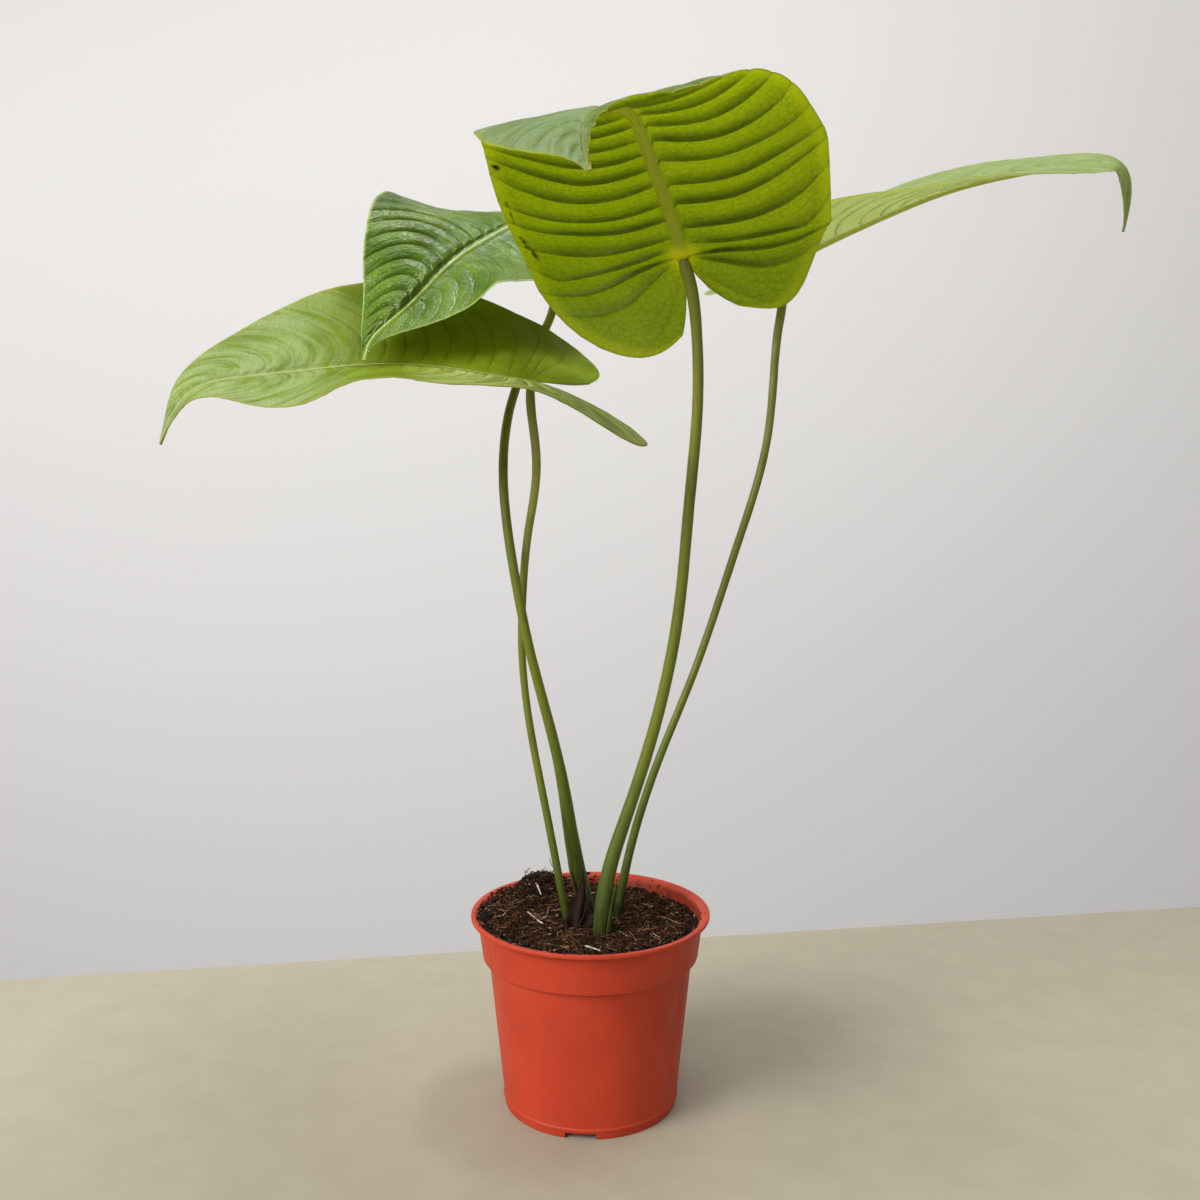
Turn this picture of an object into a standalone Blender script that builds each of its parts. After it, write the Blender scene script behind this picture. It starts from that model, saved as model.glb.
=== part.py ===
"""A potted anthurium: four pleated heart-shaped leaves on tall stalks in a nursery pot.

Metres, +Z up. The origin is the middle of the pot's foot, on the surface that it stands on.
The plant is seen from -Y.
"""
import math

import bmesh
import bpy
import numpy as np

# Pot
POT_HEIGHT = 0.098
RIM_RADIUS = 0.060
LIP_HEIGHT = 0.0018
COLLAR_TOP_RADIUS = 0.0566
COLLAR_BOTTOM_RADIUS = 0.0541
COLLAR_BOTTOM = 0.0765
RIM_WIDTH = 0.0024
WALL_TOP_RADIUS = 0.0512
WALL_BOTTOM_RADIUS = 0.0440
WALL = 0.0015
FLOOR = 0.0016
ROUND = 0.0005
CHANNEL_RISE = 0.0040
DISC_RADIUS = 0.0200
RING_HEIGHT = 0.0044
RING_WIDTH = 0.0011
RING_PROUD = 0.0004
POT_STEPS = 48
NOTCHES = 4
NOTCH_WIDTH = 0.015
NOTCH_HEIGHT = 0.003
NOTCH_TURN = math.radians(-6)
DRAIN_HOLES = 8
DRAIN_RADIUS = 0.003
DRAIN_CIRCLE = 0.031
CUT_REACH = 0.008

# Gap between pieces that touch
GAP = 0.0003

# Soil: the height of its top at the pot's wall, its lean, its dip round the stalks, and the
# height and lengths of its lumps. What lies above SOIL_BAND is shaped as its top.
SOIL_EDGE = 0.0942
SOIL_TILT = 0.0025
SOIL_HIGH_SIDE = math.radians(205)
SOIL_DIP = 0.0016
SOIL_LUMP = 0.0007
COARSE_LUMP = 0.0160
FINE_LUMP = 0.0060
SOIL_BAND = 0.090
SOIL_RINGS = 9

# Crown: the short stem that the stalks spring from, sunk in the soil
CROWN = (0.003, -0.005)
CROWN_RADIUS = 0.0070
CROWN_BOTTOM = 0.0720
CROWN_TOP = 0.0925
CROWN_ROUND = 0.0020
CROWN_STEPS = 24
PIT_RADIUS = 0.0092

# Stalks
STALK_POINTS = 30
STALK_SIDES_RESOLUTION = 2
STALK_END = 0.55
HOLE_POINTS = 8
HOLE_SPARE = 0.0004
SHEATH_SPARE = 0.0008

# Leaves: the grid of each blade, its thickness, the ridge under its midrib and how far that
# tapers, and the stretch over which the lobes begin to tilt
ROWS = 44
COLUMNS = 6
CROWDING = 1.2
BLADE = 0.00075
RIDGE = 0.0030
RIDGE_TAPER = 0.75
LOBE_EASE = 0.012

# Pleats: their number, the share of a side vein over which they rise, the share of their height
# left at the margin, and the stretch round the stalk over which they start
PLEATS = 22
PLEAT_RISE = 0.12
PLEAT_LEFT = 0.25
PLEAT_ROOM = 0.014

# The rows of the flat leaf on which the side veins lie half way out, how far ahead of its row
# each vein starts, and how far ahead it ends: on the whole blade, and further in the lobes
VEIN_ROWS = (0, 0.09, 0.187, 0.25, 0.314, 0.354, 0.403, 0.44, 0.485, 0.52, 0.55, 0.58, 0.612,
             0.645, 0.68, 0.715, 0.752, 0.79, 0.83, 0.87, 0.913, 0.956, 1)
VEIN_START = 0.04
VEIN_END = (0.02, 0.06)
ADVANCE_EASE = 0.06

# How a side vein leaves the midrib: its bend's place along and away, as shares of the vein's
# reach, in the lobes and from SINUS_SHARE of the rows on
SINUS_SHARE = 0.3
VEIN_LEAD = (0.62, 0.28)
VEIN_KNEE = (0.22, 0.58)
GIRTH_ROWS = (0, 0.2, 0.4, 0.6, 0.8, 1)

# One half of a leaf laid flat: twelve side veins from the sinus to the tip. Each has the place on
# the midrib where it starts, how far along it ends and how far out it ends, as shares of the
# leaf's length (or of the lobe's, behind the stalk) and of its half width.
HALF_LEAF = np.array([
    (0.000, -1.000, 0.200),
    (0.000, -1.160, 0.460),
    (0.000, -0.860, 0.740),
    (0.000, -0.260, 0.940),
    (0.035, 0.130, 1.000),
    (0.130, 0.290, 0.950),
    (0.260, 0.450, 0.800),
    (0.410, 0.600, 0.590),
    (0.570, 0.740, 0.390),
    (0.730, 0.855, 0.195),
    (0.880, 0.940, 0.062),
    (1.000, 1.000, 0.012),
])

# Each leaf: its length, and for its left and right half, seen from below with the tip ahead, the
# half width, the lobe's length, the lobe's tilt in degrees, how far the side veins' starts move
# ahead as a share of the length, and the girth, which scales the half's width at GIRTH_ROWS. "up"
# points out of its upper face at the stalk, and "pleat" is how high the two halves' pleats rise.
# The midrib runs from the stalk to the tip. Each posture row has a share of the length, how far
# both halves roll and how far the left and the right half fold up, in degrees, and the right
# half's curl in degrees per 100 mm.
LEAVES = {
    "leaf_1": {
        "length": 0.178, "half_width": (0.080, 0.068), "lobe": (0.035, 0.029),
        "lobe_tilt": (-30, -25), "advance": (0.02, 0.14),
        "girth": ((0.55, 0.85, 0.88, 1.16, 1.70, 1.2), (1.45, 0.98, 1.06, 1.09, 0.72, 0.5)),
        "up": (0.0, 0.85, 0.5), "pleat": (0.0019, 0.0021),
        "midrib": [(0.042, -0.034, 0.415), (0.035, -0.050, 0.432), (0.027, -0.070, 0.446),
                   (0.022, -0.086, 0.455), (0.015, -0.107, 0.459), (0.006, -0.131, 0.453),
                   (-0.001, -0.153, 0.441), (0.001, -0.171, 0.423)],
        "posture": [(-0.3, 10, -9, 2, 0), (0.0, 10, -4, 6, 0), (0.3, 10, -3, 4, 0),
                    (0.55, 10, 3, 4, 0), (0.7, 10, 3, 1, 0), (0.85, 10, 0, 24, 0),
                    (1.0, 10, 10, 50, 0)],
    },
    "leaf_2": {
        "length": 0.188, "half_width": (0.076, 0.076), "lobe": (0.036, 0.030),
        "lobe_tilt": (0, 0), "advance": (0.0, 0.0),
        "girth": ((1.0, 1.0, 1.0, 1.0, 1.0, 1.0), (1.0, 1.0, 1.05, 1.1, 1.15, 1.0)),
        "up": (-0.3, 0.0, 1.0), "pleat": (0.0007, 0.0007),
        "midrib": [(0.097, 0.060, 0.424), (0.125, 0.060, 0.438), (0.150, 0.058, 0.449),
                   (0.185, 0.054, 0.462), (0.219, 0.048, 0.469), (0.250, 0.043, 0.473),
                   (0.267, 0.040, 0.471), (0.271, 0.039, 0.459), (0.269, 0.038, 0.438)],
        "posture": [(-0.3, 0, 8, 14, 0), (0.0, 0, 11, 8, 0), (0.3, 0, 1, 13, 0),
                    (0.6, 0, -8, 16, 0), (0.8, 0, -22, 16, 0), (1.0, 0, -45, 10, 0)],
    },
    "leaf_3": {
        "length": 0.152, "half_width": (0.062, 0.056), "lobe": (0.036, 0.036),
        "lobe_tilt": (0, 0), "advance": (0.0, 0.0),
        "girth": ((1.0, 1.0, 1.0, 1.07, 1.12, 0.9), (1.0, 1.0, 1.0, 1.0, 1.0, 1.0)),
        "up": (0.1, -0.5, 0.85), "pleat": (0.0028, 0.0009),
        "midrib": [(-0.018, 0.058, 0.451), (-0.032, 0.043, 0.446), (-0.046, 0.026, 0.436),
                   (-0.060, 0.009, 0.424), (-0.071, -0.008, 0.411), (-0.082, -0.023, 0.396),
                   (-0.093, -0.035, 0.384), (-0.099, -0.044, 0.374), (-0.100, -0.047, 0.368)],
        "posture": [(-0.3, 0, -30, -40, 0), (0.0, 0, -24, -34, 0), (0.3, 0, 0, -12, 0),
                    (0.5, 0, 22, 0, 0), (0.7, 0, 18, 0, 0), (0.85, 0, 0, 0, 0),
                    (1.0, 0, 0, 0, 0)],
    },
    "leaf_4": {
        "length": 0.180, "half_width": (0.074, 0.074), "lobe": (0.027, 0.050),
        "lobe_tilt": (-4, -16), "advance": (0.0, 0.0),
        "girth": ((1.0, 1.0, 1.0, 1.0, 0.86, 0.6), (1.0, 1.0, 1.0, 1.0, 1.0, 1.0)),
        "up": (0.0, -0.1, 1.0), "pleat": (0.0005, 0.0004),
        "midrib": [(-0.027, -0.030, 0.360), (-0.052, -0.031, 0.364), (-0.078, -0.032, 0.367),
                   (-0.102, -0.034, 0.367), (-0.132, -0.037, 0.364), (-0.157, -0.040, 0.361),
                   (-0.178, -0.043, 0.355), (-0.193, -0.045, 0.331)],
        "posture": [(-0.3, 0, 10, -8, 0), (0.0, 0, 20, 0, 0), (0.2, 0, 28, -4, 4),
                    (0.45, 0, 38, -9, 8), (0.62, 0, 44, -19, 2), (0.8, 0, 42, -15, 0),
                    (1.0, 0, 36, -24, 0)],
    },
}

# Each stalk: the leaf that it carries, its route from the soil up, and its radius at shares of it
STALKS = {
    "stalk_1": {
        "leaf": "leaf_1",
        "route": [(0.0040, -0.0200, 0.0770), (0.005, -0.021, 0.092), (0.007, -0.020, 0.114),
                  (0.019, -0.018, 0.156), (0.034, -0.017, 0.207), (0.042, -0.018, 0.250),
                  (0.047, -0.020, 0.306), (0.050, -0.025, 0.351), (0.049, -0.029, 0.381),
                  (0.046, -0.033, 0.401)],
        "radius": [(0.0, 0.0040), (0.08, 0.0039), (0.25, 0.0030), (0.6, 0.0027), (0.9, 0.0025),
                   (1.0, 0.0031)],
    },
    "stalk_2": {
        "leaf": "leaf_2",
        "route": [(0.012, 0.006, 0.078), (0.014, 0.006, 0.095), (0.020, 0.009, 0.126),
                  (0.034, 0.012, 0.171), (0.052, 0.018, 0.215), (0.074, 0.028, 0.278),
                  (0.091, 0.040, 0.335), (0.095, 0.048, 0.370), (0.098, 0.055, 0.393),
                  (0.100, 0.058, 0.407)],
        "radius": [(0.0, 0.0023), (0.4, 0.0020), (0.85, 0.0021), (1.0, 0.0026)],
    },
    "stalk_3": {
        "leaf": "leaf_3",
        "route": [(-0.0005, 0.0060, 0.0770), (-0.001, 0.006, 0.091), (-0.004, 0.008, 0.104),
                  (-0.015, -0.002, 0.171), (-0.029, -0.012, 0.232), (-0.037, -0.012, 0.274),
                  (-0.042, -0.002, 0.319), (-0.041, 0.010, 0.341), (-0.038, 0.024, 0.357),
                  (-0.029, 0.042, 0.380), (-0.021, 0.052, 0.397), (-0.017, 0.059, 0.427)],
        "radius": [(0.0, 0.0044), (0.1, 0.0042), (0.25, 0.0027), (0.4, 0.0023), (0.9, 0.0022),
                   (1.0, 0.0025)],
    },
    "stalk_4": {
        "leaf": "leaf_4",
        "route": [(-0.0080, -0.0070, 0.0770), (-0.011, -0.008, 0.093), (-0.023, -0.002, 0.155),
                  (-0.032, 0.004, 0.205), (-0.034, 0.004, 0.235), (-0.033, 0.000, 0.260),
                  (-0.030, -0.007, 0.288), (-0.025, -0.020, 0.321), (-0.026, -0.026, 0.338),
                  (-0.027, -0.029, 0.348)],
        "radius": [(0.0, 0.0020), (0.5, 0.00185), (0.8, 0.0020), (1.0, 0.0022)],
    },
}

# Each dry scale or sheath: the axis that it wraps, its inner radius at the foot and the tip, the
# side that it stands on at the foot and the tip in degrees, half of the arc that it covers at the
# foot in degrees, and how fast it narrows to its tip
WRAPS = {
    "bud_scale_1": {
        "axis": [(0.003, -0.005, 0.080), (0.0025, -0.005, 0.095), (-0.001, -0.0025, 0.118)],
        "radius": (0.0074, 0.0080), "side": (183, 165), "arc": 50, "narrowing": 1.3,
        "thick": 0.0007,
    },
    "bud_scale_2": {
        "axis": [(0.003, -0.005, 0.080), (0.0028, -0.0052, 0.093), (0.0010, -0.0065, 0.107)],
        "radius": (0.0074, 0.0078), "side": (275, 255), "arc": 32, "narrowing": 1.6,
        "thick": 0.0007,
    },
    "green_sheath": {
        "axis": [(0.0044, -0.0204, 0.082), (0.0050, -0.0210, 0.092), (0.0068, -0.0201, 0.113),
                 (0.0088, -0.0197, 0.1215)],
        "radius": (0.0047, 0.0042), "side": (-25, -10), "arc": 50, "narrowing": 1.1,
        "thick": 0.0008,
    },
}
WRAP_ROWS = 10
WRAP_COLUMNS = 8
WRAP_TIP = 0.07

COLOURS = {
    "pot": ((0.56, 0.085, 0.03), 0.42),
    "soil": ((0.030, 0.014, 0.008), 0.95),
    "crown": ((0.055, 0.075, 0.012), 0.6),
    "leaf": ((0.13, 0.24, 0.02), 0.38),
    "stalk": ((0.10, 0.13, 0.02), 0.45),
    "scale": ((0.045, 0.020, 0.012), 0.7),
    "sheath": ((0.15, 0.22, 0.04), 0.5),
}


def spline(knots, values, at):
    """Read a natural cubic spline through values given at knots."""
    knots = np.asarray(knots, float)
    values = np.asarray(values, float)
    at = np.asarray(at, float)
    gap = np.diff(knots)
    count = len(knots)
    system = np.eye(count)
    bend = np.zeros(values.shape)
    for i in range(1, count - 1):
        system[i, i - 1:i + 2] = gap[i - 1], 2 * (gap[i - 1] + gap[i]), gap[i]
        bend[i] = 6 * ((values[i + 1] - values[i]) / gap[i]
                       - (values[i] - values[i - 1]) / gap[i - 1])
    bend = np.linalg.solve(system, bend)
    i = np.clip(np.searchsorted(knots, at) - 1, 0, count - 2)
    low = knots[i + 1] - at
    high = at - knots[i]
    wide = gap[i]
    if values.ndim > 1:
        low, high, wide = low[..., None], high[..., None], wide[..., None]
    curved = (bend[i] * low ** 3 + bend[i + 1] * high ** 3) / (6 * wide)
    left = (values[i] / wide - bend[i] * wide / 6) * low
    right = (values[i + 1] / wide - bend[i + 1] * wide / 6) * high
    return curved + left + right


def unit(vectors):
    return vectors / np.linalg.norm(vectors, axis=-1, keepdims=True)


def smooth_route(points, count):
    """Evenly spaced points along one smooth curve through the given points."""
    points = np.asarray(points, float)
    chord = np.r_[0, np.cumsum(np.linalg.norm(np.diff(points, axis=0), axis=1))]
    line = spline(chord, points, np.linspace(0, chord[-1], 4 * count))
    run = np.r_[0, np.cumsum(np.linalg.norm(np.diff(line, axis=0), axis=1))]
    even = np.linspace(0, run[-1], count)
    return even, np.stack([np.interp(even, run, line[:, k]) for k in range(3)], 1)


def midrib_frames(leaf, count=241):
    """Points, directions and upper normals along a leaf's midrib."""
    even, line = smooth_route(leaf["midrib"], count)
    along = unit(np.gradient(line, axis=0))
    normal = np.array(leaf["up"], float)
    normals = []
    for direction in along:
        normal = unit(normal - direction * normal.dot(direction))
        normals.append(normal)
    return even, line, along, np.array(normals)


def by_side(side, pair):
    """The left half's value where side is positive, the right half's elsewhere."""
    return np.where(side >= 0, pair[0], pair[1])


def flat_place(leaf, row, side):
    """Distances along and away from the midrib, for rows 0 to 1 and sides -1 to 1."""
    vein = row * (len(HALF_LEAF) - 1)
    root, reach, spread = np.moveaxis(spline(np.arange(len(HALF_LEAF)), HALF_LEAF, vein), -1, 0)
    root = np.clip(root, 0, 1)
    t = np.abs(side)
    eased = 1 - np.clip(1 - t / ADVANCE_EASE, 0, 1) ** 2
    advance = by_side(side, leaf["advance"]) * eased * 4 * root * (1 - root)
    root = (root + advance) * leaf["length"]
    reach = np.where(reach > 0, reach * leaf["length"], reach * by_side(side, leaf["lobe"]))
    girth = [spline(GIRTH_ROWS, part, row) for part in leaf["girth"]]
    spread = spread * by_side(side, leaf["half_width"]) * by_side(side, girth)
    ease = np.clip(row / SINUS_SHARE, 0, 1)
    ease = ease * ease * (3 - 2 * ease)
    lead = VEIN_LEAD[0] + (VEIN_LEAD[1] - VEIN_LEAD[0]) * ease
    knee = VEIN_KNEE[0] + (VEIN_KNEE[1] - VEIN_KNEE[0]) * ease
    middle = 2 * t * (1 - t)
    along = root * (1 - t) ** 2 + middle * (root + lead * (reach - root)) + reach * t * t
    away = middle * knee * spread + spread * t * t
    return along, away


def turn(first, second, angle):
    """Two crossed directions, both turned by an angle from the first towards the second."""
    c, s = np.cos(angle)[..., None], np.sin(angle)[..., None]
    return first * c + second * s, second * c - first * s


def vein_row(pleat, side):
    """The row of the flat leaf at a place among the side veins, counted in pleats."""
    row = np.interp(pleat, np.arange(PLEATS + 1), VEIN_ROWS)
    t = np.abs(side)
    start = VEIN_START * np.clip(1 - 2 * t, 0, 1) ** 2 * np.clip(10 * row - 2, 0, 1)
    end = VEIN_END[0] + VEIN_END[1] * np.exp(-((row - 0.2) / 0.09) ** 2)
    end = end * np.clip(2 * t - 1, 0, 1) ** 2
    return row + (start + end) * np.clip(np.minimum(row, 1 - row) / 0.15, 0, 1)


def leaf_surface(leaf, pleat, side):
    """Points of a leaf's upper face, with the pleats between its side veins."""
    row = vein_row(pleat, side)
    even, line, direction, normal = midrib_frames(leaf)
    along, away = flat_place(leaf, row, side)
    at = np.clip(along, 0, leaf["length"]) * even[-1] / leaf["length"]
    middle, ahead, up = (np.stack([np.interp(at, even, table[:, k]) for k in range(3)], -1)
                         for table in (line, direction, normal))
    ahead = unit(ahead)
    up = unit(up - ahead * np.sum(up * ahead, -1, keepdims=True))
    across = np.cross(ahead, up)

    # Behind the stalk the lobes leave the midrib's line and tilt over a short ease
    back = np.minimum(along, 0)
    tilt = np.radians(by_side(side, leaf["lobe_tilt"]))
    eased = 1 - np.exp(back / LOBE_EASE)
    mean = tilt * (1 - eased * LOBE_EASE / np.maximum(-back, 1e-6))
    mean_ahead, _ = turn(ahead, up, -np.where(back < 0, mean, 0))
    middle = middle + mean_ahead * back[..., None]
    ahead, up = turn(ahead, up, -tilt * eased)

    table = np.array(leaf["posture"], float)
    share = np.clip(along / leaf["length"], table[0, 0], table[-1, 0])
    posture = np.radians(spline(table[:, 0], table[:, 1:], share))
    roll, left, right, curl = np.moveaxis(posture, -1, 0)
    fold = np.where(side >= 0, left, right)
    curl = np.where(side >= 0, 0, curl) / 0.1
    curl = np.where(np.abs(curl) < 1e-3, 1e-3, curl)
    across, up = turn(across, up, roll)
    out = across * np.sign(side + 1e-9)[..., None]
    lean = fold + curl * away
    place = (middle + out * ((np.sin(lean) - np.sin(fold)) / curl)[..., None]
             + up * ((np.cos(fold) - np.cos(lean)) / curl)[..., None])
    _, face = turn(out, up, lean)

    phase = pleat % 1
    bulge = np.clip(4 * phase * (1 - phase), 0, 1) ** 0.65
    t = np.abs(side)
    height = by_side(side, leaf["pleat"]) * np.clip(t / PLEAT_RISE, 0, 1)
    height = height * (1 - (1 - PLEAT_LEFT) * t ** 3)
    height = height * np.clip(pleat / 2 - 0.4, 0.15, 1) * np.clip((PLEATS - pleat) / 5, 0, 1)
    height = height * np.clip(np.hypot(along, away) / PLEAT_ROOM - 0.3, 0, 1)
    return place + face * (height * bulge)[..., None], along


def clear_scene():
    for obj in list(bpy.data.objects):
        bpy.data.objects.remove(obj, do_unlink=True)
    for group in list(bpy.data.collections):
        bpy.data.collections.remove(group)


def add_object(name, data, collection, look=None):
    obj = bpy.data.objects.new(name, data)
    collection.objects.link(obj)
    if look:
        colour, roughness = COLOURS[look]
        material = bpy.data.materials.new(name + "_material")
        material.use_nodes = True
        shader = material.node_tree.nodes["Principled BSDF"]
        shader.inputs["Base Color"].default_value = (*colour, 1)
        shader.inputs["Roughness"].default_value = roughness
        shader.inputs["Metallic"].default_value = 0
        data.materials.append(material)
    return obj


def hide_cutter(obj):
    obj.hide_render = True
    obj.display_type = "WIRE"


def turned(name, profile, collection, look=None, steps=POT_STEPS, place=(0, 0, 0)):
    """A turned piece: its profile runs from the axis down the outer side and back."""
    mesh = bpy.data.meshes.new(name)
    points = [(r, 0, z) for r, z in profile]
    mesh.from_pydata(points, [(i, i + 1) for i in range(len(points) - 1)], [])
    obj = add_object(name, mesh, collection, look)
    obj.location = place
    screw = obj.modifiers.new("Turn", "SCREW")
    screw.axis = "Z"
    screw.steps = steps
    screw.render_steps = steps
    screw.use_merge_vertices = True
    screw.merge_threshold = 0.00001
    screw.use_smooth_shade = True
    return obj


def cut(obj, cutter):
    hide_cutter(cutter)
    boolean = obj.modifiers.new("Cut " + cutter.name, "BOOLEAN")
    boolean.operation = "DIFFERENCE"
    boolean.solver = "EXACT"
    boolean.object = cutter


def as_mesh(obj, collection, look=None):
    """Replace an object by the mesh that its modifiers or its bevel make."""
    bpy.context.view_layer.update()
    graph = bpy.context.evaluated_depsgraph_get()
    mesh = bpy.data.meshes.new_from_object(obj.evaluated_get(graph))
    name = obj.name
    place = obj.matrix_world.copy()
    bpy.data.objects.remove(obj, do_unlink=True)
    shape = bmesh.new()
    shape.from_mesh(mesh)
    bmesh.ops.remove_doubles(shape, verts=shape.verts, dist=0.00001)
    shape.to_mesh(mesh)
    shape.free()
    mesh.materials.clear()
    made = add_object(name, mesh, collection, look)
    made.matrix_world = place
    return made


def inner_radius(z):
    """The inside radius of the pot's collar at a height."""
    share = (z - COLLAR_BOTTOM) / (POT_HEIGHT - LIP_HEIGHT - COLLAR_BOTTOM)
    return COLLAR_BOTTOM_RADIUS - WALL + share * (COLLAR_TOP_RADIUS - COLLAR_BOTTOM_RADIUS)


def cutter_object(name, shape, cutters, place, turned_by=0.0):
    """A cutter from a bmesh, which is freed."""
    mesh = bpy.data.meshes.new(name)
    shape.to_mesh(mesh)
    shape.free()
    cutter = add_object(name, mesh, cutters)
    cutter.location = place
    cutter.rotation_euler = (0, 0, turned_by)
    return cutter


def make_pot(parts, cutters):
    """A thin nursery pot: a lip, a collar, a tapering wall, a ring and a raised floor channel."""
    lip_base = POT_HEIGHT - LIP_HEIGHT
    channel_top = CHANNEL_RISE + FLOOR
    foot = WALL_BOTTOM_RADIUS - RING_PROUD
    ring = WALL_BOTTOM_RADIUS + RING_PROUD
    inside = [
        (0, FLOOR), (DISC_RADIUS - WALL, FLOOR), (DISC_RADIUS, channel_top),
        (WALL_BOTTOM_RADIUS - WALL, channel_top), (WALL_TOP_RADIUS - WALL, COLLAR_BOTTOM + ROUND),
        (COLLAR_BOTTOM_RADIUS - WALL, COLLAR_BOTTOM + WALL), (COLLAR_TOP_RADIUS - WALL, lip_base),
    ]
    lip = [
        (RIM_RADIUS - RIM_WIDTH, POT_HEIGHT - ROUND), (RIM_RADIUS - RIM_WIDTH + ROUND, POT_HEIGHT),
        (RIM_RADIUS - ROUND, POT_HEIGHT), (RIM_RADIUS, POT_HEIGHT - ROUND),
        (RIM_RADIUS, lip_base + ROUND), (RIM_RADIUS - ROUND, lip_base),
    ]
    outside = [
        (COLLAR_TOP_RADIUS, lip_base - ROUND), (COLLAR_BOTTOM_RADIUS, COLLAR_BOTTOM + ROUND),
        (COLLAR_BOTTOM_RADIUS - ROUND, COLLAR_BOTTOM), (WALL_TOP_RADIUS, COLLAR_BOTTOM - ROUND),
        (WALL_BOTTOM_RADIUS, RING_HEIGHT + RING_WIDTH), (ring, RING_HEIGHT + RING_WIDTH / 2),
        (ring, RING_HEIGHT - RING_WIDTH / 2), (WALL_BOTTOM_RADIUS, RING_HEIGHT - RING_WIDTH),
        (foot, 0), (foot - WALL, 0), (foot - WALL, CHANNEL_RISE),
        (DISC_RADIUS + WALL, CHANNEL_RISE), (DISC_RADIUS, 0), (0, 0),
    ]
    pot = turned("pot", inside + lip + outside, parts, "pot")
    for k in range(NOTCHES):
        angle = NOTCH_TURN + k * 2 * math.pi / NOTCHES
        box = bmesh.new()
        bmesh.ops.create_cube(box, size=1)
        bmesh.ops.scale(box, verts=box.verts, vec=(NOTCH_WIDTH, CUT_REACH, 2 * NOTCH_HEIGHT))
        place = (WALL_BOTTOM_RADIUS * math.sin(angle), -WALL_BOTTOM_RADIUS * math.cos(angle), 0)
        cut(pot, cutter_object("notch_%d" % k, box, cutters, place, angle))
    for k in range(DRAIN_HOLES):
        angle = NOTCH_TURN + (k + 0.5) * 2 * math.pi / DRAIN_HOLES
        rod = bmesh.new()
        bmesh.ops.create_cone(rod, cap_ends=True, segments=12, radius1=DRAIN_RADIUS,
                              radius2=DRAIN_RADIUS, depth=CUT_REACH)
        place = (DRAIN_CIRCLE * math.sin(angle), -DRAIN_CIRCLE * math.cos(angle), channel_top)
        cut(pot, cutter_object("drain_%d" % k, rod, cutters, place))


def soil_height(x, y):
    """The lumpy top of the soil: it leans to one side and dips round the stalks."""
    share = math.hypot(x, y) / inner_radius(SOIL_EDGE)
    lean = SOIL_TILT * math.cos(math.atan2(y, x) - SOIL_HIGH_SIDE) * share ** 2
    coarse = 2 * math.pi / COARSE_LUMP
    fine = 2 * math.pi / FINE_LUMP
    lumps = math.sin(coarse * x + 1.3) * math.cos(0.9 * coarse * y - 0.7)
    lumps += 0.6 * math.sin(fine * (0.85 * x - 0.52 * y))
    return SOIL_EDGE + lean - SOIL_DIP * (1 - share ** 2) + SOIL_LUMP * lumps


def make_soil(parts):
    """The soil: it fills the pot up to its lumpy top."""
    channel_top = CHANNEL_RISE + FLOOR
    edge = inner_radius(SOIL_EDGE) - GAP
    inset = WALL + GAP
    profile = [(edge * k / SOIL_RINGS, SOIL_EDGE) for k in range(SOIL_RINGS + 1)] + [
        (COLLAR_BOTTOM_RADIUS - inset, COLLAR_BOTTOM + inset),
        (WALL_TOP_RADIUS - inset, COLLAR_BOTTOM + ROUND + GAP),
        (WALL_BOTTOM_RADIUS - inset, channel_top + GAP), (DISC_RADIUS - GAP, channel_top + GAP),
        (DISC_RADIUS - inset, FLOOR + GAP), (0, FLOOR + GAP),
    ]
    soil = as_mesh(turned("soil", profile, parts), parts, "soil")
    for vertex in soil.data.vertices:
        if vertex.co.z < SOIL_BAND:
            continue
        reach = math.hypot(vertex.co.x, vertex.co.y)
        vertex.co.z = soil_height(vertex.co.x, vertex.co.y)
        if reach > edge - GAP:
            vertex.co.x *= (inner_radius(vertex.co.z) - GAP) / reach
            vertex.co.y *= (inner_radius(vertex.co.z) - GAP) / reach
    return soil


def make_crown(parts, cutters, soil):
    """The crown, and the plain pit in the soil that it and the dry scales stand in."""
    profile = [(0, CROWN_TOP), (0.6 * CROWN_RADIUS, CROWN_TOP - 0.15 * CROWN_ROUND),
               (CROWN_RADIUS, CROWN_TOP - CROWN_ROUND),
               (0.93 * CROWN_RADIUS, CROWN_BOTTOM + CROWN_ROUND),
               (0.75 * CROWN_RADIUS, CROWN_BOTTOM), (0, CROWN_BOTTOM)]
    turned("crown", profile, parts, "crown", CROWN_STEPS, (*CROWN, 0))
    bottom = CROWN_BOTTOM - GAP
    pit = [(0, POT_HEIGHT), (PIT_RADIUS, POT_HEIGHT), (PIT_RADIUS, bottom), (0, bottom)]
    cut(soil, turned("crown_pit", pit, cutters, None, CROWN_STEPS, (*CROWN, 0)))


def stalk_line(stalk):
    """A stalk's points and radii. It ends just under the ridge of its leaf."""
    leaf = LEAVES[stalk["leaf"]]
    _, line, ahead, up = midrib_frames(leaf, 61)
    roll = np.radians(np.array(leaf["posture"][1][1], float))
    _, face = turn(np.cross(ahead[0], up[0]), up[0], roll)
    towards = unit(line[0] - np.array(stalk["route"][-1]))
    slant = math.sqrt(1 - towards.dot(face) ** 2)
    end = line[0] - face * (RIDGE + GAP + slant * STALK_END * stalk["radius"][-1][1])
    even, points = smooth_route(stalk["route"] + [tuple(end)], STALK_POINTS)
    shares, radii = zip(*stalk["radius"])
    radii = np.interp(even / even[-1], shares, radii)
    radii[-1] *= STALK_END
    return points, radii


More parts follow.
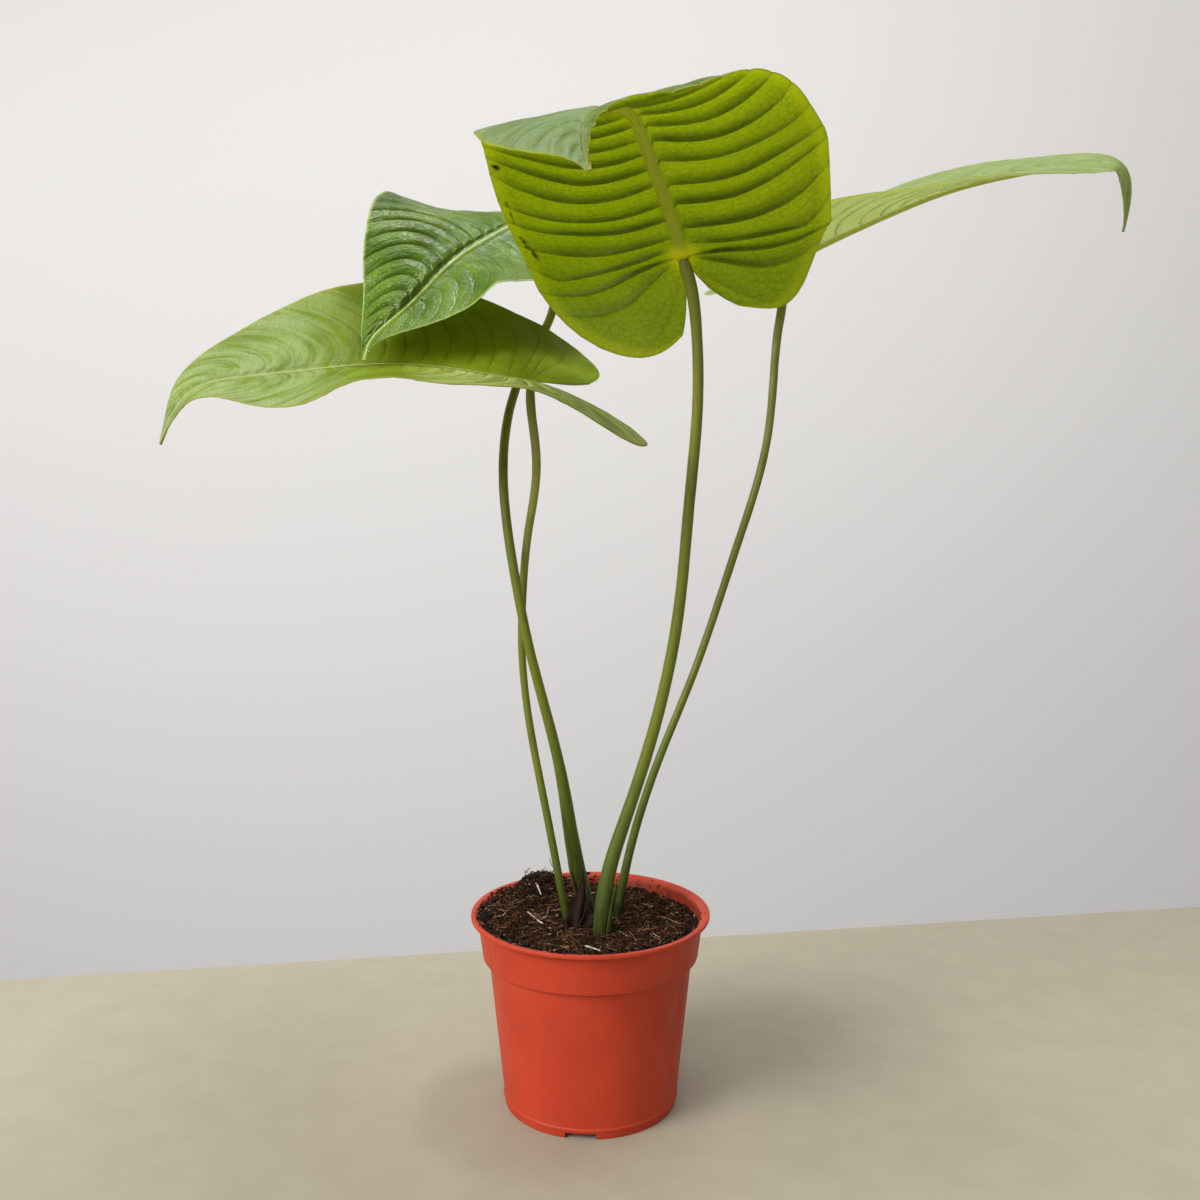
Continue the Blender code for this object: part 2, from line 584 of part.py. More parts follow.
def make_tube(name, points, radii, collection, look=None):
    """A tapering tube along points."""
    curve = bpy.data.curves.new(name, "CURVE")
    curve.dimensions = "3D"
    curve.bevel_depth = 1
    curve.bevel_resolution = STALK_SIDES_RESOLUTION
    curve.use_fill_caps = True
    path = curve.splines.new("POLY")
    path.points.add(len(points) - 1)
    for point, place, radius in zip(path.points, points, radii):
        point.co = (*place, 1)
        point.radius = radius
    tube = as_mesh(add_object(name, curve, collection), collection, look)
    tube.data.shade_smooth()
    return tube


def make_leaf(name, leaf, parts):
    """A leaf blade: a pleated sheet with a ridge under its midrib."""
    grid = bmesh.new()
    bmesh.ops.create_grid(grid, x_segments=2 * COLUMNS, y_segments=ROWS, size=1)
    flat = np.array([vertex.co[:2] for vertex in grid.verts])
    side = np.sign(flat[:, 0]) * np.abs(flat[:, 0]) ** CROWDING
    pleat = (flat[:, 1] + 1) / 2 * PLEATS
    places, along = leaf_surface(leaf, pleat, side)
    ridge = 1 - RIDGE_TAPER * np.clip(along / leaf["length"], 0, 1)
    least = BLADE / RIDGE
    weights = np.where(np.abs(side) < 1e-6, np.maximum(ridge, least), least)
    layer = grid.verts.layers.deform.verify()
    for vertex, place, weight in zip(grid.verts, places, weights):
        vertex.co = place
        vertex[layer][0] = float(weight)
    bmesh.ops.remove_doubles(grid, verts=grid.verts, dist=0.0002)
    bmesh.ops.triangulate(grid, faces=grid.faces)
    mesh = bpy.data.meshes.new(name)
    grid.to_mesh(mesh)
    grid.free()
    blade = add_object(name, mesh, parts, "leaf")
    blade.vertex_groups.new(name="thickness")
    solidify = blade.modifiers.new("Thickness", "SOLIDIFY")
    solidify.thickness = RIDGE
    solidify.offset = -1
    solidify.vertex_group = "thickness"
    mesh.shade_smooth()
    return blade


def make_wrap(name, wrap, collection, look=None, spare=0.0):
    """A scale or sheath that partly wraps an axis and narrows to a tip."""
    _, axis = smooth_route(wrap["axis"], WRAP_ROWS + 1)
    grid = bmesh.new()
    bmesh.ops.create_grid(grid, x_segments=WRAP_COLUMNS, y_segments=WRAP_ROWS, size=1)
    for vertex in grid.verts:
        t = (vertex.co.y + 1) / 2
        k = int(round(t * WRAP_ROWS))
        radius = wrap["radius"][0] + (wrap["radius"][1] - wrap["radius"][0]) * t - spare / 2
        side = wrap["side"][0] + (wrap["side"][1] - wrap["side"][0]) * t
        arc = wrap["arc"] * (1 - (1 - WRAP_TIP) * t ** wrap["narrowing"])
        arc += math.degrees(spare / radius)
        angle = math.radians(side + vertex.co.x * arc)
        vertex.co = (axis[k][0] + radius * math.cos(angle), axis[k][1] + radius * math.sin(angle),
                     axis[k][2] - (spare if k == 0 else 0))
    bmesh.ops.triangulate(grid, faces=grid.faces)
    mesh = bpy.data.meshes.new(name)
    grid.to_mesh(mesh)
    grid.free()
    piece = add_object(name, mesh, collection, look)
    solidify = piece.modifiers.new("Thickness", "SOLIDIFY")
    solidify.thickness = wrap["thick"] + spare
    solidify.offset = 1
    mesh.shade_smooth()
    return piece


def main():
    clear_scene()
    parts = bpy.data.collections.new("potted_anthurium")
    cutters = bpy.data.collections.new("cutters")
    for group in (parts, cutters):
        bpy.context.scene.collection.children.link(group)

    make_pot(parts, cutters)
    soil = make_soil(parts)
    make_crown(parts, cutters, soil)
    for name, stalk in STALKS.items():
        points, radii = stalk_line(stalk)
        make_tube(name, points, radii, parts, "stalk")
        below = points.copy()
        below[0, 2] -= GAP
        cut(soil, make_tube(name + "_hole", below[:HOLE_POINTS], radii[:HOLE_POINTS] + HOLE_SPARE,
                            cutters))
    for name, wrap in WRAPS.items():
        look = "sheath" if name == "green_sheath" else "scale"
        make_wrap(name, wrap, parts, look)
    cut(soil, make_wrap("sheath_hole", WRAPS["green_sheath"], cutters, None, SHEATH_SPARE))
    for name, leaf in LEAVES.items():
        make_leaf(name, leaf, parts)


main()
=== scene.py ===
"""How the potted anthurium looks: fine leaves, stalks, soil and pot, with a studio round them.

Metres, +Z up, in the frame of the solids. The camera stands at -Y. The pot, leaves, stalks and
scales repeat the sizes that the solids were made from, apart from the pleats of leaf_3, which are
a little lower here, and add veins, relief and colour.
"""
import math

import bmesh
import bpy
import numpy as np
from mathutils import Matrix, Vector, noise


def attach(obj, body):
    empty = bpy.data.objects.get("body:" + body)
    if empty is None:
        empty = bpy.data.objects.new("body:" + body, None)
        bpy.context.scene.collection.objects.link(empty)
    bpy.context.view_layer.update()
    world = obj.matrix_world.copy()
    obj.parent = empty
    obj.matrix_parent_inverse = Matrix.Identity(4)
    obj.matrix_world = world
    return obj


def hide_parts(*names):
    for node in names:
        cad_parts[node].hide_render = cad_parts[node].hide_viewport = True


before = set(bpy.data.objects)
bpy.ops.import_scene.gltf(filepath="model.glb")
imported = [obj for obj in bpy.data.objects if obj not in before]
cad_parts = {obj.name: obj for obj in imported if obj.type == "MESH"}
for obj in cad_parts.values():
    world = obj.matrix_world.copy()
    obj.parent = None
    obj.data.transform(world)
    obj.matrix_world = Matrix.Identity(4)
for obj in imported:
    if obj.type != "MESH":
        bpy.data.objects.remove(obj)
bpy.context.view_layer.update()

# Camera
LENS = 38.1
CAMERA_PLACE = (0.0048, -0.619, 0.326)
CAMERA_DOWN = math.radians(6.5)

# Table: the height of its top is 0. Its back edge slants away to the right.
TABLE_EDGE_LEFT = (-0.9, 0.057)
TABLE_EDGE_RIGHT = (0.9, 0.347)
TABLE_FRONT = -1.2
TABLE_THICK = 0.03
WALL_PLACE = 1.6
WALL_REACH = (-4, 4, -1.5, 3)

# Pot
POT_HEIGHT = 0.098
RIM_RADIUS = 0.060
LIP_HEIGHT = 0.0018
COLLAR_TOP_RADIUS = 0.0566
COLLAR_BOTTOM_RADIUS = 0.0541
COLLAR_BOTTOM = 0.0765
RIM_WIDTH = 0.0024
WALL_TOP_RADIUS = 0.0512
WALL_BOTTOM_RADIUS = 0.0440
WALL = 0.0015
FLOOR = 0.0016
CHANNEL_RISE = 0.0040
DISC_RADIUS = 0.0200
RING_HEIGHT = 0.0044
RING_WIDTH = 0.0011
RING_PROUD = 0.0004
POT_STEPS = 240
NOTCHES = 4
NOTCH_WIDTH = 0.015
NOTCH_HEIGHT = 0.003
NOTCH_TURN = math.radians(-6)
DRAIN_HOLES = 8
DRAIN_RADIUS = 0.003
DRAIN_SIDES = 32
DRAIN_CIRCLE = 0.031
CUT_REACH = 0.008
ROUND = 0.0005
ROUND_STEPS = 4
SHARP = math.radians(40)

# Soil
SOIL_EDGE = 0.0942
SOIL_TILT = 0.0025
SOIL_HIGH_SIDE = math.radians(205)
SOIL_DIP = 0.0016
SOIL_LUMP = 0.0007
COARSE_LUMP = 0.0160
FINE_LUMP = 0.0060

# Leaves: the blade's thickness and the stretch behind the stalk over which the lobes tilt. The
# pleats rise within PLEAT_RISE of the half width, keep PLEAT_LEFT of their height at the margin and
# fade within about PLEAT_ROOM of the stalk.
BLADE = 0.00065
LOBE_EASE = 0.012
PLEATS = 22
PLEAT_RISE = 0.12
PLEAT_LEFT = 0.25
PLEAT_ROOM = 0.014

# Side veins: the row of the flat leaf, from 0 to 1, where each one lies, and how far on its start
# and its end are moved. VEIN_END holds the end's move, and what it gains beside the lobe. A vein's
# curve is pulled along by VEIN_LEAD and away by VEIN_KNEE, at the sinus and past SINUS_SHARE of the
# rows. A move of the starts fades in over ADVANCE_EASE of the half width.
VEIN_ROWS = (0, 0.09, 0.187, 0.25, 0.314, 0.354, 0.403, 0.44, 0.485, 0.52, 0.55, 0.58, 0.612,
             0.645, 0.68, 0.715, 0.752, 0.79, 0.83, 0.87, 0.913, 0.956, 1)
VEIN_START = 0.04
VEIN_END = (0.02, 0.06)
ADVANCE_EASE = 0.06
SINUS_SHARE = 0.3
VEIN_LEAD = (0.62, 0.28)
VEIN_KNEE = (0.22, 0.58)
GIRTH_ROWS = (0, 0.2, 0.4, 0.6, 0.8, 1)

# The fine grid of a blade: places of its rows between two side veins, and of its columns between
# the midrib and the margin. Both crowd where the relief is fine.
PLEAT_ROWS = (0, 0.03, 0.07, 0.14, 0.25, 0.41, 0.59, 0.75, 0.86, 0.93, 0.97)
NEAR_MIDRIB = (0, 0.004, 0.009, 0.015, 0.022, 0.03, 0.04, 0.055, 0.075, 0.10, 0.13)
NEAR_MARGIN = (0.87, 0.89, 0.91, 0.925, 0.94, 0.955, 0.97, 0.985, 1.0)
MIDDLE_COLUMNS = 24

# Fine relief: heights and sizes in metres, and the width of a side vein in pleats. Towards the tip
# the midrib loses the shares MIDRIB_NARROWING of its width and MIDRIB_TAPER of its depth.
MINOR_PLEAT = 0.00018
UNEVEN_SIZE = 0.022
PUCKER_SIZE = 0.0028
MIDRIB_WIDTH = 0.0056
MIDRIB_NARROWING = 0.8
MIDRIB_DEPTH = 0.0024
MIDRIB_TAPER = 0.75
VEIN_DEPTH = 0.00035
VEIN_WIDTH = 0.035
VEIN_FADE = 0.004

# The flat map holds places on the flat blade, away and along, times this
MAP_SCALE = 10.0

# One half of a leaf laid flat: twelve side veins from the sinus to the tip. Each has the place on
# the midrib where it starts, how far along it ends and how far out it ends, as shares of the
# leaf's length (or of the lobe's, behind the stalk) and of its half width.
HALF_LEAF = np.array([
    (0.000, -1.000, 0.200),
    (0.000, -1.160, 0.460),
    (0.000, -0.860, 0.740),
    (0.000, -0.260, 0.940),
    (0.035, 0.130, 1.000),
    (0.130, 0.290, 0.950),
    (0.260, 0.450, 0.800),
    (0.410, 0.600, 0.590),
    (0.570, 0.740, 0.390),
    (0.730, 0.855, 0.195),
    (0.880, 0.940, 0.062),
    (1.000, 1.000, 0.012),
])

# Each leaf: its length, and for its left and right half, seen from below with the tip ahead, the
# half width, the lobe's length, the lobe's tilt in degrees, how far the side veins' starts move
# ahead as a share of the length, and the girth, which scales the half's width at GIRTH_ROWS. "up"
# points out of its upper face at the stalk, and "pleat" is how high the two halves' pleats rise.
# "uneven" and "pucker" are the heights of its broad and its fine unevenness, and "waves" lists the
# waves of its margin: the half (-1 is the right one), row, width in rows and height. The midrib
# runs from the stalk to the tip. Each posture row has a share of the length, how far both halves
# roll and how far the left and the right half fold up, in degrees, and the right half's curl in
# degrees per 100 mm.
LEAVES = {
    "leaf_1": {
        "length": 0.178, "half_width": (0.080, 0.068), "lobe": (0.035, 0.029),
        "lobe_tilt": (-30, -25), "advance": (0.02, 0.14),
        "girth": ((0.55, 0.85, 0.88, 1.16, 1.70, 1.2), (1.45, 0.98, 1.06, 1.09, 0.72, 0.5)),
        "up": (0.0, 0.85, 0.5), "pleat": (0.0019, 0.0021),
        "uneven": 0.0006, "pucker": 0.00012, "seed": 1,
        "waves": [],
        "midrib": [(0.042, -0.034, 0.415), (0.035, -0.050, 0.432), (0.027, -0.070, 0.446),
                   (0.022, -0.086, 0.455), (0.015, -0.107, 0.459), (0.006, -0.131, 0.453),
                   (-0.001, -0.153, 0.441), (0.001, -0.171, 0.423)],
        "posture": [(-0.3, 10, -9, 2, 0), (0.0, 10, -4, 6, 0), (0.3, 10, -3, 4, 0),
                    (0.55, 10, 3, 4, 0), (0.7, 10, 3, 1, 0), (0.85, 10, 0, 24, 0),
                    (1.0, 10, 10, 50, 0)],
    },
    "leaf_2": {
        "length": 0.188, "half_width": (0.076, 0.076), "lobe": (0.036, 0.030),
        "lobe_tilt": (0, 0), "advance": (0.0, 0.0),
        "girth": ((1.0, 1.0, 1.0, 1.0, 1.0, 1.0), (1.0, 1.0, 1.05, 1.1, 1.15, 1.0)),
        "up": (-0.3, 0.0, 1.0), "pleat": (0.0007, 0.0007),
        "uneven": 0.0006, "pucker": 0.00012, "seed": 2,
        "waves": [],
        "midrib": [(0.097, 0.060, 0.424), (0.125, 0.060, 0.438), (0.150, 0.058, 0.449),
                   (0.185, 0.054, 0.462), (0.219, 0.048, 0.469), (0.250, 0.043, 0.473),
                   (0.267, 0.040, 0.471), (0.271, 0.039, 0.459), (0.269, 0.038, 0.438)],
        "posture": [(-0.3, 0, 8, 14, 0), (0.0, 0, 11, 8, 0), (0.3, 0, 1, 13, 0),
                    (0.6, 0, -8, 16, 0), (0.8, 0, -22, 16, 0), (1.0, 0, -45, 10, 0)],
    },
    "leaf_3": {
        "length": 0.152, "half_width": (0.062, 0.056), "lobe": (0.036, 0.036),
        "lobe_tilt": (0, 0), "advance": (0.0, 0.0),
        "girth": ((1.0, 1.0, 1.0, 1.07, 1.12, 0.9), (1.0, 1.0, 1.0, 1.0, 1.0, 1.0)),
        "up": (0.1, -0.5, 0.85), "pleat": (0.0026, 0.0006),
        "uneven": 0.0013, "pucker": 0.00050, "seed": 3,
        "waves": [(-1, 0.64, 0.035, 0.005)],
        "midrib": [(-0.018, 0.058, 0.451), (-0.032, 0.043, 0.446), (-0.046, 0.026, 0.436),
                   (-0.060, 0.009, 0.424), (-0.071, -0.008, 0.411), (-0.082, -0.023, 0.396),
                   (-0.093, -0.035, 0.384), (-0.099, -0.044, 0.374), (-0.100, -0.047, 0.368)],
        "posture": [(-0.3, 0, -30, -40, 0), (0.0, 0, -24, -34, 0), (0.3, 0, 0, -12, 0),
                    (0.5, 0, 22, 0, 0), (0.7, 0, 18, 0, 0), (0.85, 0, 0, 0, 0),
                    (1.0, 0, 0, 0, 0)],
    },
    "leaf_4": {
        "length": 0.180, "half_width": (0.074, 0.074), "lobe": (0.027, 0.050),
        "lobe_tilt": (-4, -16), "advance": (0.0, 0.0),
        "girth": ((1.0, 1.0, 1.0, 1.0, 0.86, 0.6), (1.0, 1.0, 1.0, 1.0, 1.0, 1.0)),
        "up": (0.0, -0.1, 1.0), "pleat": (0.0005, 0.0004),
        "uneven": 0.0007, "pucker": 0.00015, "seed": 4,
        "waves": [],
        "midrib": [(-0.027, -0.030, 0.360), (-0.052, -0.031, 0.364), (-0.078, -0.032, 0.367),
                   (-0.102, -0.034, 0.367), (-0.132, -0.037, 0.364), (-0.157, -0.040, 0.361),
                   (-0.178, -0.043, 0.355), (-0.193, -0.045, 0.331)],
        "posture": [(-0.3, 0, 10, -8, 0), (0.0, 0, 20, 0, 0), (0.2, 0, 28, -4, 4),
                    (0.45, 0, 38, -9, 8), (0.62, 0, 44, -19, 2), (0.8, 0, 42, -15, 0),
                    (1.0, 0, 36, -24, 0)],
    },
}

# Each stalk: the leaf that it carries, its route from the soil up, and its radius at shares of it
STALKS = {
    "stalk_1": {
        "leaf": "leaf_1",
        "route": [(0.0040, -0.0200, 0.0770), (0.005, -0.021, 0.092), (0.007, -0.020, 0.114),
                  (0.019, -0.018, 0.156), (0.034, -0.017, 0.207), (0.042, -0.018, 0.250),
                  (0.047, -0.020, 0.306), (0.050, -0.025, 0.351), (0.049, -0.029, 0.381),
                  (0.046, -0.033, 0.401)],
        "radius": [(0.0, 0.0040), (0.08, 0.0039), (0.25, 0.0030), (0.6, 0.0027), (0.9, 0.0025),
                   (1.0, 0.0031)],
    },
    "stalk_2": {
        "leaf": "leaf_2",
        "route": [(0.012, 0.006, 0.078), (0.014, 0.006, 0.095), (0.020, 0.009, 0.126),
                  (0.034, 0.012, 0.171), (0.052, 0.018, 0.215), (0.074, 0.028, 0.278),
                  (0.091, 0.040, 0.335), (0.095, 0.048, 0.370), (0.098, 0.055, 0.393),
                  (0.100, 0.058, 0.407)],
        "radius": [(0.0, 0.0023), (0.4, 0.0020), (0.85, 0.0021), (1.0, 0.0026)],
    },
    "stalk_3": {
        "leaf": "leaf_3",
        "route": [(-0.0005, 0.0060, 0.0770), (-0.001, 0.006, 0.091), (-0.004, 0.008, 0.104),
                  (-0.015, -0.002, 0.171), (-0.029, -0.012, 0.232), (-0.037, -0.012, 0.274),
                  (-0.042, -0.002, 0.319), (-0.041, 0.010, 0.341), (-0.038, 0.024, 0.357),
                  (-0.029, 0.042, 0.380), (-0.021, 0.052, 0.397), (-0.017, 0.059, 0.427)],
        "radius": [(0.0, 0.0044), (0.1, 0.0042), (0.25, 0.0027), (0.4, 0.0023), (0.9, 0.0022),
                   (1.0, 0.0025)],
    },
    "stalk_4": {
        "leaf": "leaf_4",
        "route": [(-0.0080, -0.0070, 0.0770), (-0.011, -0.008, 0.093), (-0.023, -0.002, 0.155),
                  (-0.032, 0.004, 0.205), (-0.034, 0.004, 0.235), (-0.033, 0.000, 0.260),
                  (-0.030, -0.007, 0.288), (-0.025, -0.020, 0.321), (-0.026, -0.026, 0.338),
                  (-0.027, -0.029, 0.348)],
        "radius": [(0.0, 0.0020), (0.5, 0.00185), (0.8, 0.0020), (1.0, 0.0022)],
    },
}

# Each dry scale or sheath: the axis that it wraps, its inner radius at the foot and the tip, the
# side that it stands on at the foot and the tip in degrees, half of the arc that it covers at the
# foot in degrees, how fast it narrows to its tip, its thickness, and the height, number of furrows
# and seed of its roughness
WRAPS = {
    "bud_scale_1": {
        "axis": [(0.003, -0.005, 0.080), (0.0025, -0.005, 0.095), (-0.001, -0.0025, 0.118)],
        "radius": (0.0074, 0.0080), "side": (183, 165), "arc": 50, "narrowing": 1.3,
        "thick": 0.0007, "rough": 0.0006, "furrows": 5, "seed": 5,
    },
    "bud_scale_2": {
        "axis": [(0.003, -0.005, 0.080), (0.0028, -0.0052, 0.093), (0.0010, -0.0065, 0.107)],
        "radius": (0.0074, 0.0078), "side": (275, 255), "arc": 32, "narrowing": 1.6,
        "thick": 0.0007, "rough": 0.0006, "furrows": 4, "seed": 6,
    },
    "green_sheath": {
        "axis": [(0.0044, -0.0204, 0.082), (0.0050, -0.0210, 0.092), (0.0068, -0.0201, 0.113),
                 (0.0088, -0.0197, 0.1215)],
        "radius": (0.0047, 0.0042), "side": (-25, -10), "arc": 50, "narrowing": 1.1,
        "thick": 0.0008, "rough": 0.00012, "furrows": 3, "seed": 7,
    },
}

# Torn papery folds round the crown: each fold's route, its half width at the foot, the middle and
# the tip, the way that it faces across at its foot and tip in degrees, and how it curls
FOLDS = [
    ([(-0.0092, -0.0110, 0.0905), (-0.0084, -0.0112, 0.0985), (-0.0060, -0.0100, 0.1065),
      (-0.0046, -0.0088, 0.1150)], (0.0030, 0.0028, 0.0004), (10, -35), 0.5),
    ([(-0.0072, -0.0128, 0.0900), (-0.0062, -0.0132, 0.0975), (-0.0044, -0.0122, 0.1060),
      (-0.0034, -0.0112, 0.1150), (-0.0038, -0.0104, 0.1225)], (0.0026, 0.0019, 0.0001), (-10, 30),
     -0.6),
    ([(-0.0040, -0.0140, 0.0895), (-0.0024, -0.0140, 0.0965), (0.0004, -0.0126, 0.1035),
      (0.0040, -0.0104, 0.1120)], (0.0026, 0.0026, 0.0006), (25, -25), 0.5),
    ([(0.0000, -0.0130, 0.0895), (0.0010, -0.0126, 0.0960), (0.0026, -0.0112, 0.1030)],
     (0.0024, 0.0020, 0.0003), (-20, 20), -0.4),
    ([(-0.0104, -0.0040, 0.0915), (-0.0098, -0.0036, 0.0985), (-0.0086, -0.0030, 0.1060)],
     (0.0024, 0.0020, 0.0003), (60, 20), 0.4),
    ([(0.0100, -0.0150, 0.0900), (0.0094, -0.0135, 0.0960), (0.0086, -0.0115, 0.1040)],
     (0.0016, 0.0013, 0.0002), (80, 30), 0.4),
    ([(-0.0100, -0.0160, 0.0900), (-0.0120, -0.0150, 0.0945), (-0.0128, -0.0128, 0.0985)],
     (0.0020, 0.0015, 0.0002), (-40, 10), 0.5),
]

# Rows and columns of the grids of a wrap and of a fold, and the thickness of a fold
WRAP_GRID = (48, 36)
FOLD_GRID = (24, 8)
FOLD_THICK = 0.0003

# Pale splinters of wood on the soil: the place of each one's two ends, and its half thickness
SPLINTERS = [
    ((-0.0020, -0.0420), (0.0050, -0.0475), 0.00050),
    ((-0.0290, 0.0330), (-0.0262, 0.0250), 0.00045),
    ((-0.0262, -0.0070), (-0.0235, -0.0110), 0.00050),
    ((-0.0318, 0.0010), (-0.0262, -0.0070), 0.00035),
    ((-0.0100, -0.0450), (-0.0130, -0.0470), 0.00045),
    ((0.0330, 0.0150), (0.0270, 0.0220), 0.00022),
    ((0.0360, 0.0010), (0.0450, -0.0090), 0.00022),
    ((-0.0450, 0.0080), (-0.0520, 0.0030), 0.00025),
]

# Stalks in detail: rings, sides, how far under the blade's upper face each one ends, how its last
# rings taper, and the height, size and seed of its unevenness
STALK_RINGS = 150
STALK_SIDES = 24
STALK_SINK = 0.0012
STALK_TAPER = (0.95, 0.8, 0.5)
STALK_WOBBLE = 0.03
STALK_LUMP = 0.008
STALK_SEED = 3

# A stalk's colours from the soil up, as shares of its length, and each one's colour at its top. The
# tops of stalk_3 and stalk_4 are paler, partly their own colour and partly painted light where
# the leaves shade them.
STALK_COLOURS = [(0.03, (0.014, 0.024, 0.003)), (0.16, (0.075, 0.110, 0.006)),
                 (0.35, (0.128, 0.155, 0.007)), (0.62, (0.142, 0.160, 0.010))]
STALK_TIPS = {
    "stalk_1": (0.165, 0.165, 0.018), "stalk_2": (0.20, 0.21, 0.035),
    "stalk_3": (0.26, 0.28, 0.030), "stalk_4": (0.28, 0.28, 0.050),
}

# Soil in detail: its gap to the pot, and the height and size of the two kinds of roughness of its
# top. SOIL_CLEAR holds spots and the radius round each that stays free of bits, and SOIL_HEAPS
# spots, radii and how high the soil is heaped there. STRAND_CORNERS are turns in radians.
SOIL_GAP = 0.0004
SOIL_RINGS = 70
SOIL_SPOKES = 200
SOIL_ROUGH = [(0.0015, 0.0050), (0.0009, 0.0020)]
SOIL_SINK = 0.0006
BODY_SHADE = 0.05
CRUMBS = 5200
CRUMB_SIZE = (0.00040, 0.0010)
EDGE_CRUMBS = 1500
EDGE_SPREAD = 0.95
CRUMB_SEED = 11
STRAND_STEPS = 5
STRAND_CORNERS = (0.5, 2.6, 4.7)
SOIL_CLEAR = [(0.003, -0.005, 0.008), (0.005, -0.021, 0.0040), (0.014, 0.006, 0.0025),
              (-0.001, 0.006, 0.0044), (-0.010, -0.008, 0.0022)]
SOIL_HEAPS = [(-0.029, 0.043, 0.014, 0.0086), (-0.048, 0.006, 0.013, 0.0014),
              (0.000, -0.030, 0.007, 0.0016), (-0.014, -0.013, 0.006, 0.0012),
              (0.016, -0.022, 0.006, 0.0012), (0.024, -0.040, 0.014, 0.0012)]

# Colours of the bits of soil, from the darkest bits to the palest, by their share
SOIL_COLOURS = [(0.0, (0.007, 0.004, 0.0025)), (0.50, (0.024, 0.011, 0.006)),
                (0.80, (0.080, 0.031, 0.013)), (0.95, (0.20, 0.085, 0.030)),
                (1.0, (0.46, 0.28, 0.13))]
FIBRE_COLOURS = [(0.0, (0.010, 0.005, 0.003)), (0.45, (0.045, 0.017, 0.008)),
                 (0.85, (0.17, 0.062, 0.024)), (1.0, (0.40, 0.22, 0.10))]
CURL_COLOURS = [(0.0, (0.006, 0.003, 0.002)), (1.0, (0.045, 0.018, 0.009))]
STRAW_COLOURS = [(0.0, (0.20, 0.10, 0.04)), (0.5, (0.42, 0.29, 0.14)), (1.0, (0.75, 0.66, 0.50))]
SPLINTER_COLOURS = [(0.0, (0.26, 0.15, 0.07)), (0.6, (0.55, 0.42, 0.26)),
                    (1.0, (0.90, 0.87, 0.78))]

# Dark and light colours of a scale or sheath, and of the light that comes through it
DRY_COLOURS = {
    "scale": ((0.006, 0.003, 0.002), (0.070, 0.028, 0.015), (0.06, 0.020, 0.010)),
    "sheath": ((0.045, 0.075, 0.012), (0.12, 0.17, 0.035), (0.20, 0.30, 0.04)),
}

# Strands on the soil: their name, count, least and greatest length and radius, colours and seed,
# how much they climb and bend, and the circle that they start in
ANYWHERE = (0.0, 0.0, 1.0)
STRANDS = [
    ("soil_fibres", 3600, (0.0025, 0.0090), (0.00010, 0.00028), FIBRE_COLOURS, 21, 0.1, 1.0,
     ANYWHERE),
    ("soil_curls", 60, (0.0050, 0.0100), (0.00020, 0.00042), CURL_COLOURS, 43, 0.15, 2.0,
     (-0.029, 0.041, 0.013)),
    ("soil_straws", 60, (0.004, 0.010), (0.00016, 0.00032), STRAW_COLOURS, 31, 0.03, 1.0,
     ANYWHERE),
]

# Light: each lamp's name, place, aim, size and power
LAMPS = [
    ("key", (-1.25, -0.95, 1.15), (0.0, 0.0, 0.22), (0.9, 0.9), 33.5),
    ("front", (-0.45, -1.25, 0.75), (-0.03, -0.20, 0.0), (0.7, 0.5), 3.8),
    ("above", (0.10, 0.00, 1.70), (0.0, 0.0, 0.38), (1.2, 0.7), 8.5),
    ("glint", (0.36, 0.14, 1.60), (-0.08, 0.0, 0.42), (0.5, 0.22), 6.0),
    ("fill", (1.4, -0.9, 0.8), (0.0, 0.0, 0.3), (1.2, 1.2), 0.9),
    ("wall_left", (-1.5, 0.5, 1.0), (-0.9, 1.6, -0.1), (1.0, 0.8), 4.0),
    ("wall_top", (0.7, 0.6, 2.0), (0.6, 1.6, 0.9), (1.4, 0.6), 5.5),
]
WORLD_COLOUR = (0.80, 0.79, 0.775)
WORLD_STRENGTH = 0.37


def spline(knots, values, at):
    """Read a natural cubic spline through values given at knots."""
    knots = np.asarray(knots, float)
    values = np.asarray(values, float)
    at = np.asarray(at, float)
    gap = np.diff(knots)
    count = len(knots)
    system = np.eye(count)
    bend = np.zeros(values.shape)
    for i in range(1, count - 1):
        system[i, i - 1:i + 2] = gap[i - 1], 2 * (gap[i - 1] + gap[i]), gap[i]
        bend[i] = 6 * ((values[i + 1] - values[i]) / gap[i]
                       - (values[i] - values[i - 1]) / gap[i - 1])
    bend = np.linalg.solve(system, bend)
    i = np.clip(np.searchsorted(knots, at) - 1, 0, count - 2)
    low = knots[i + 1] - at
    high = at - knots[i]
    wide = gap[i]
    if values.ndim > 1:
        low, high, wide = low[..., None], high[..., None], wide[..., None]
    curved = (bend[i] * low ** 3 + bend[i + 1] * high ** 3) / (6 * wide)
    left = (values[i] / wide - bend[i] * wide / 6) * low
    right = (values[i + 1] / wide - bend[i + 1] * wide / 6) * high
    return curved + left + right


def unit(vectors):
    return vectors / np.linalg.norm(vectors, axis=-1, keepdims=True)


def eased(share):
    """Goes smoothly from 0 to 1 as the share does."""
    share = np.clip(share, 0, 1)
    return share * share * (3 - 2 * share)


def smooth_route(points, count):
    """Evenly spaced points along one smooth curve through the given points."""
    points = np.asarray(points, float)
    chord = np.r_[0, np.cumsum(np.linalg.norm(np.diff(points, axis=0), axis=1))]
    line = spline(chord, points, np.linspace(0, chord[-1], 4 * count))
    run = np.r_[0, np.cumsum(np.linalg.norm(np.diff(line, axis=0), axis=1))]
    even = np.linspace(0, run[-1], count)
    return even, np.stack([np.interp(even, run, line[:, k]) for k in range(3)], 1)


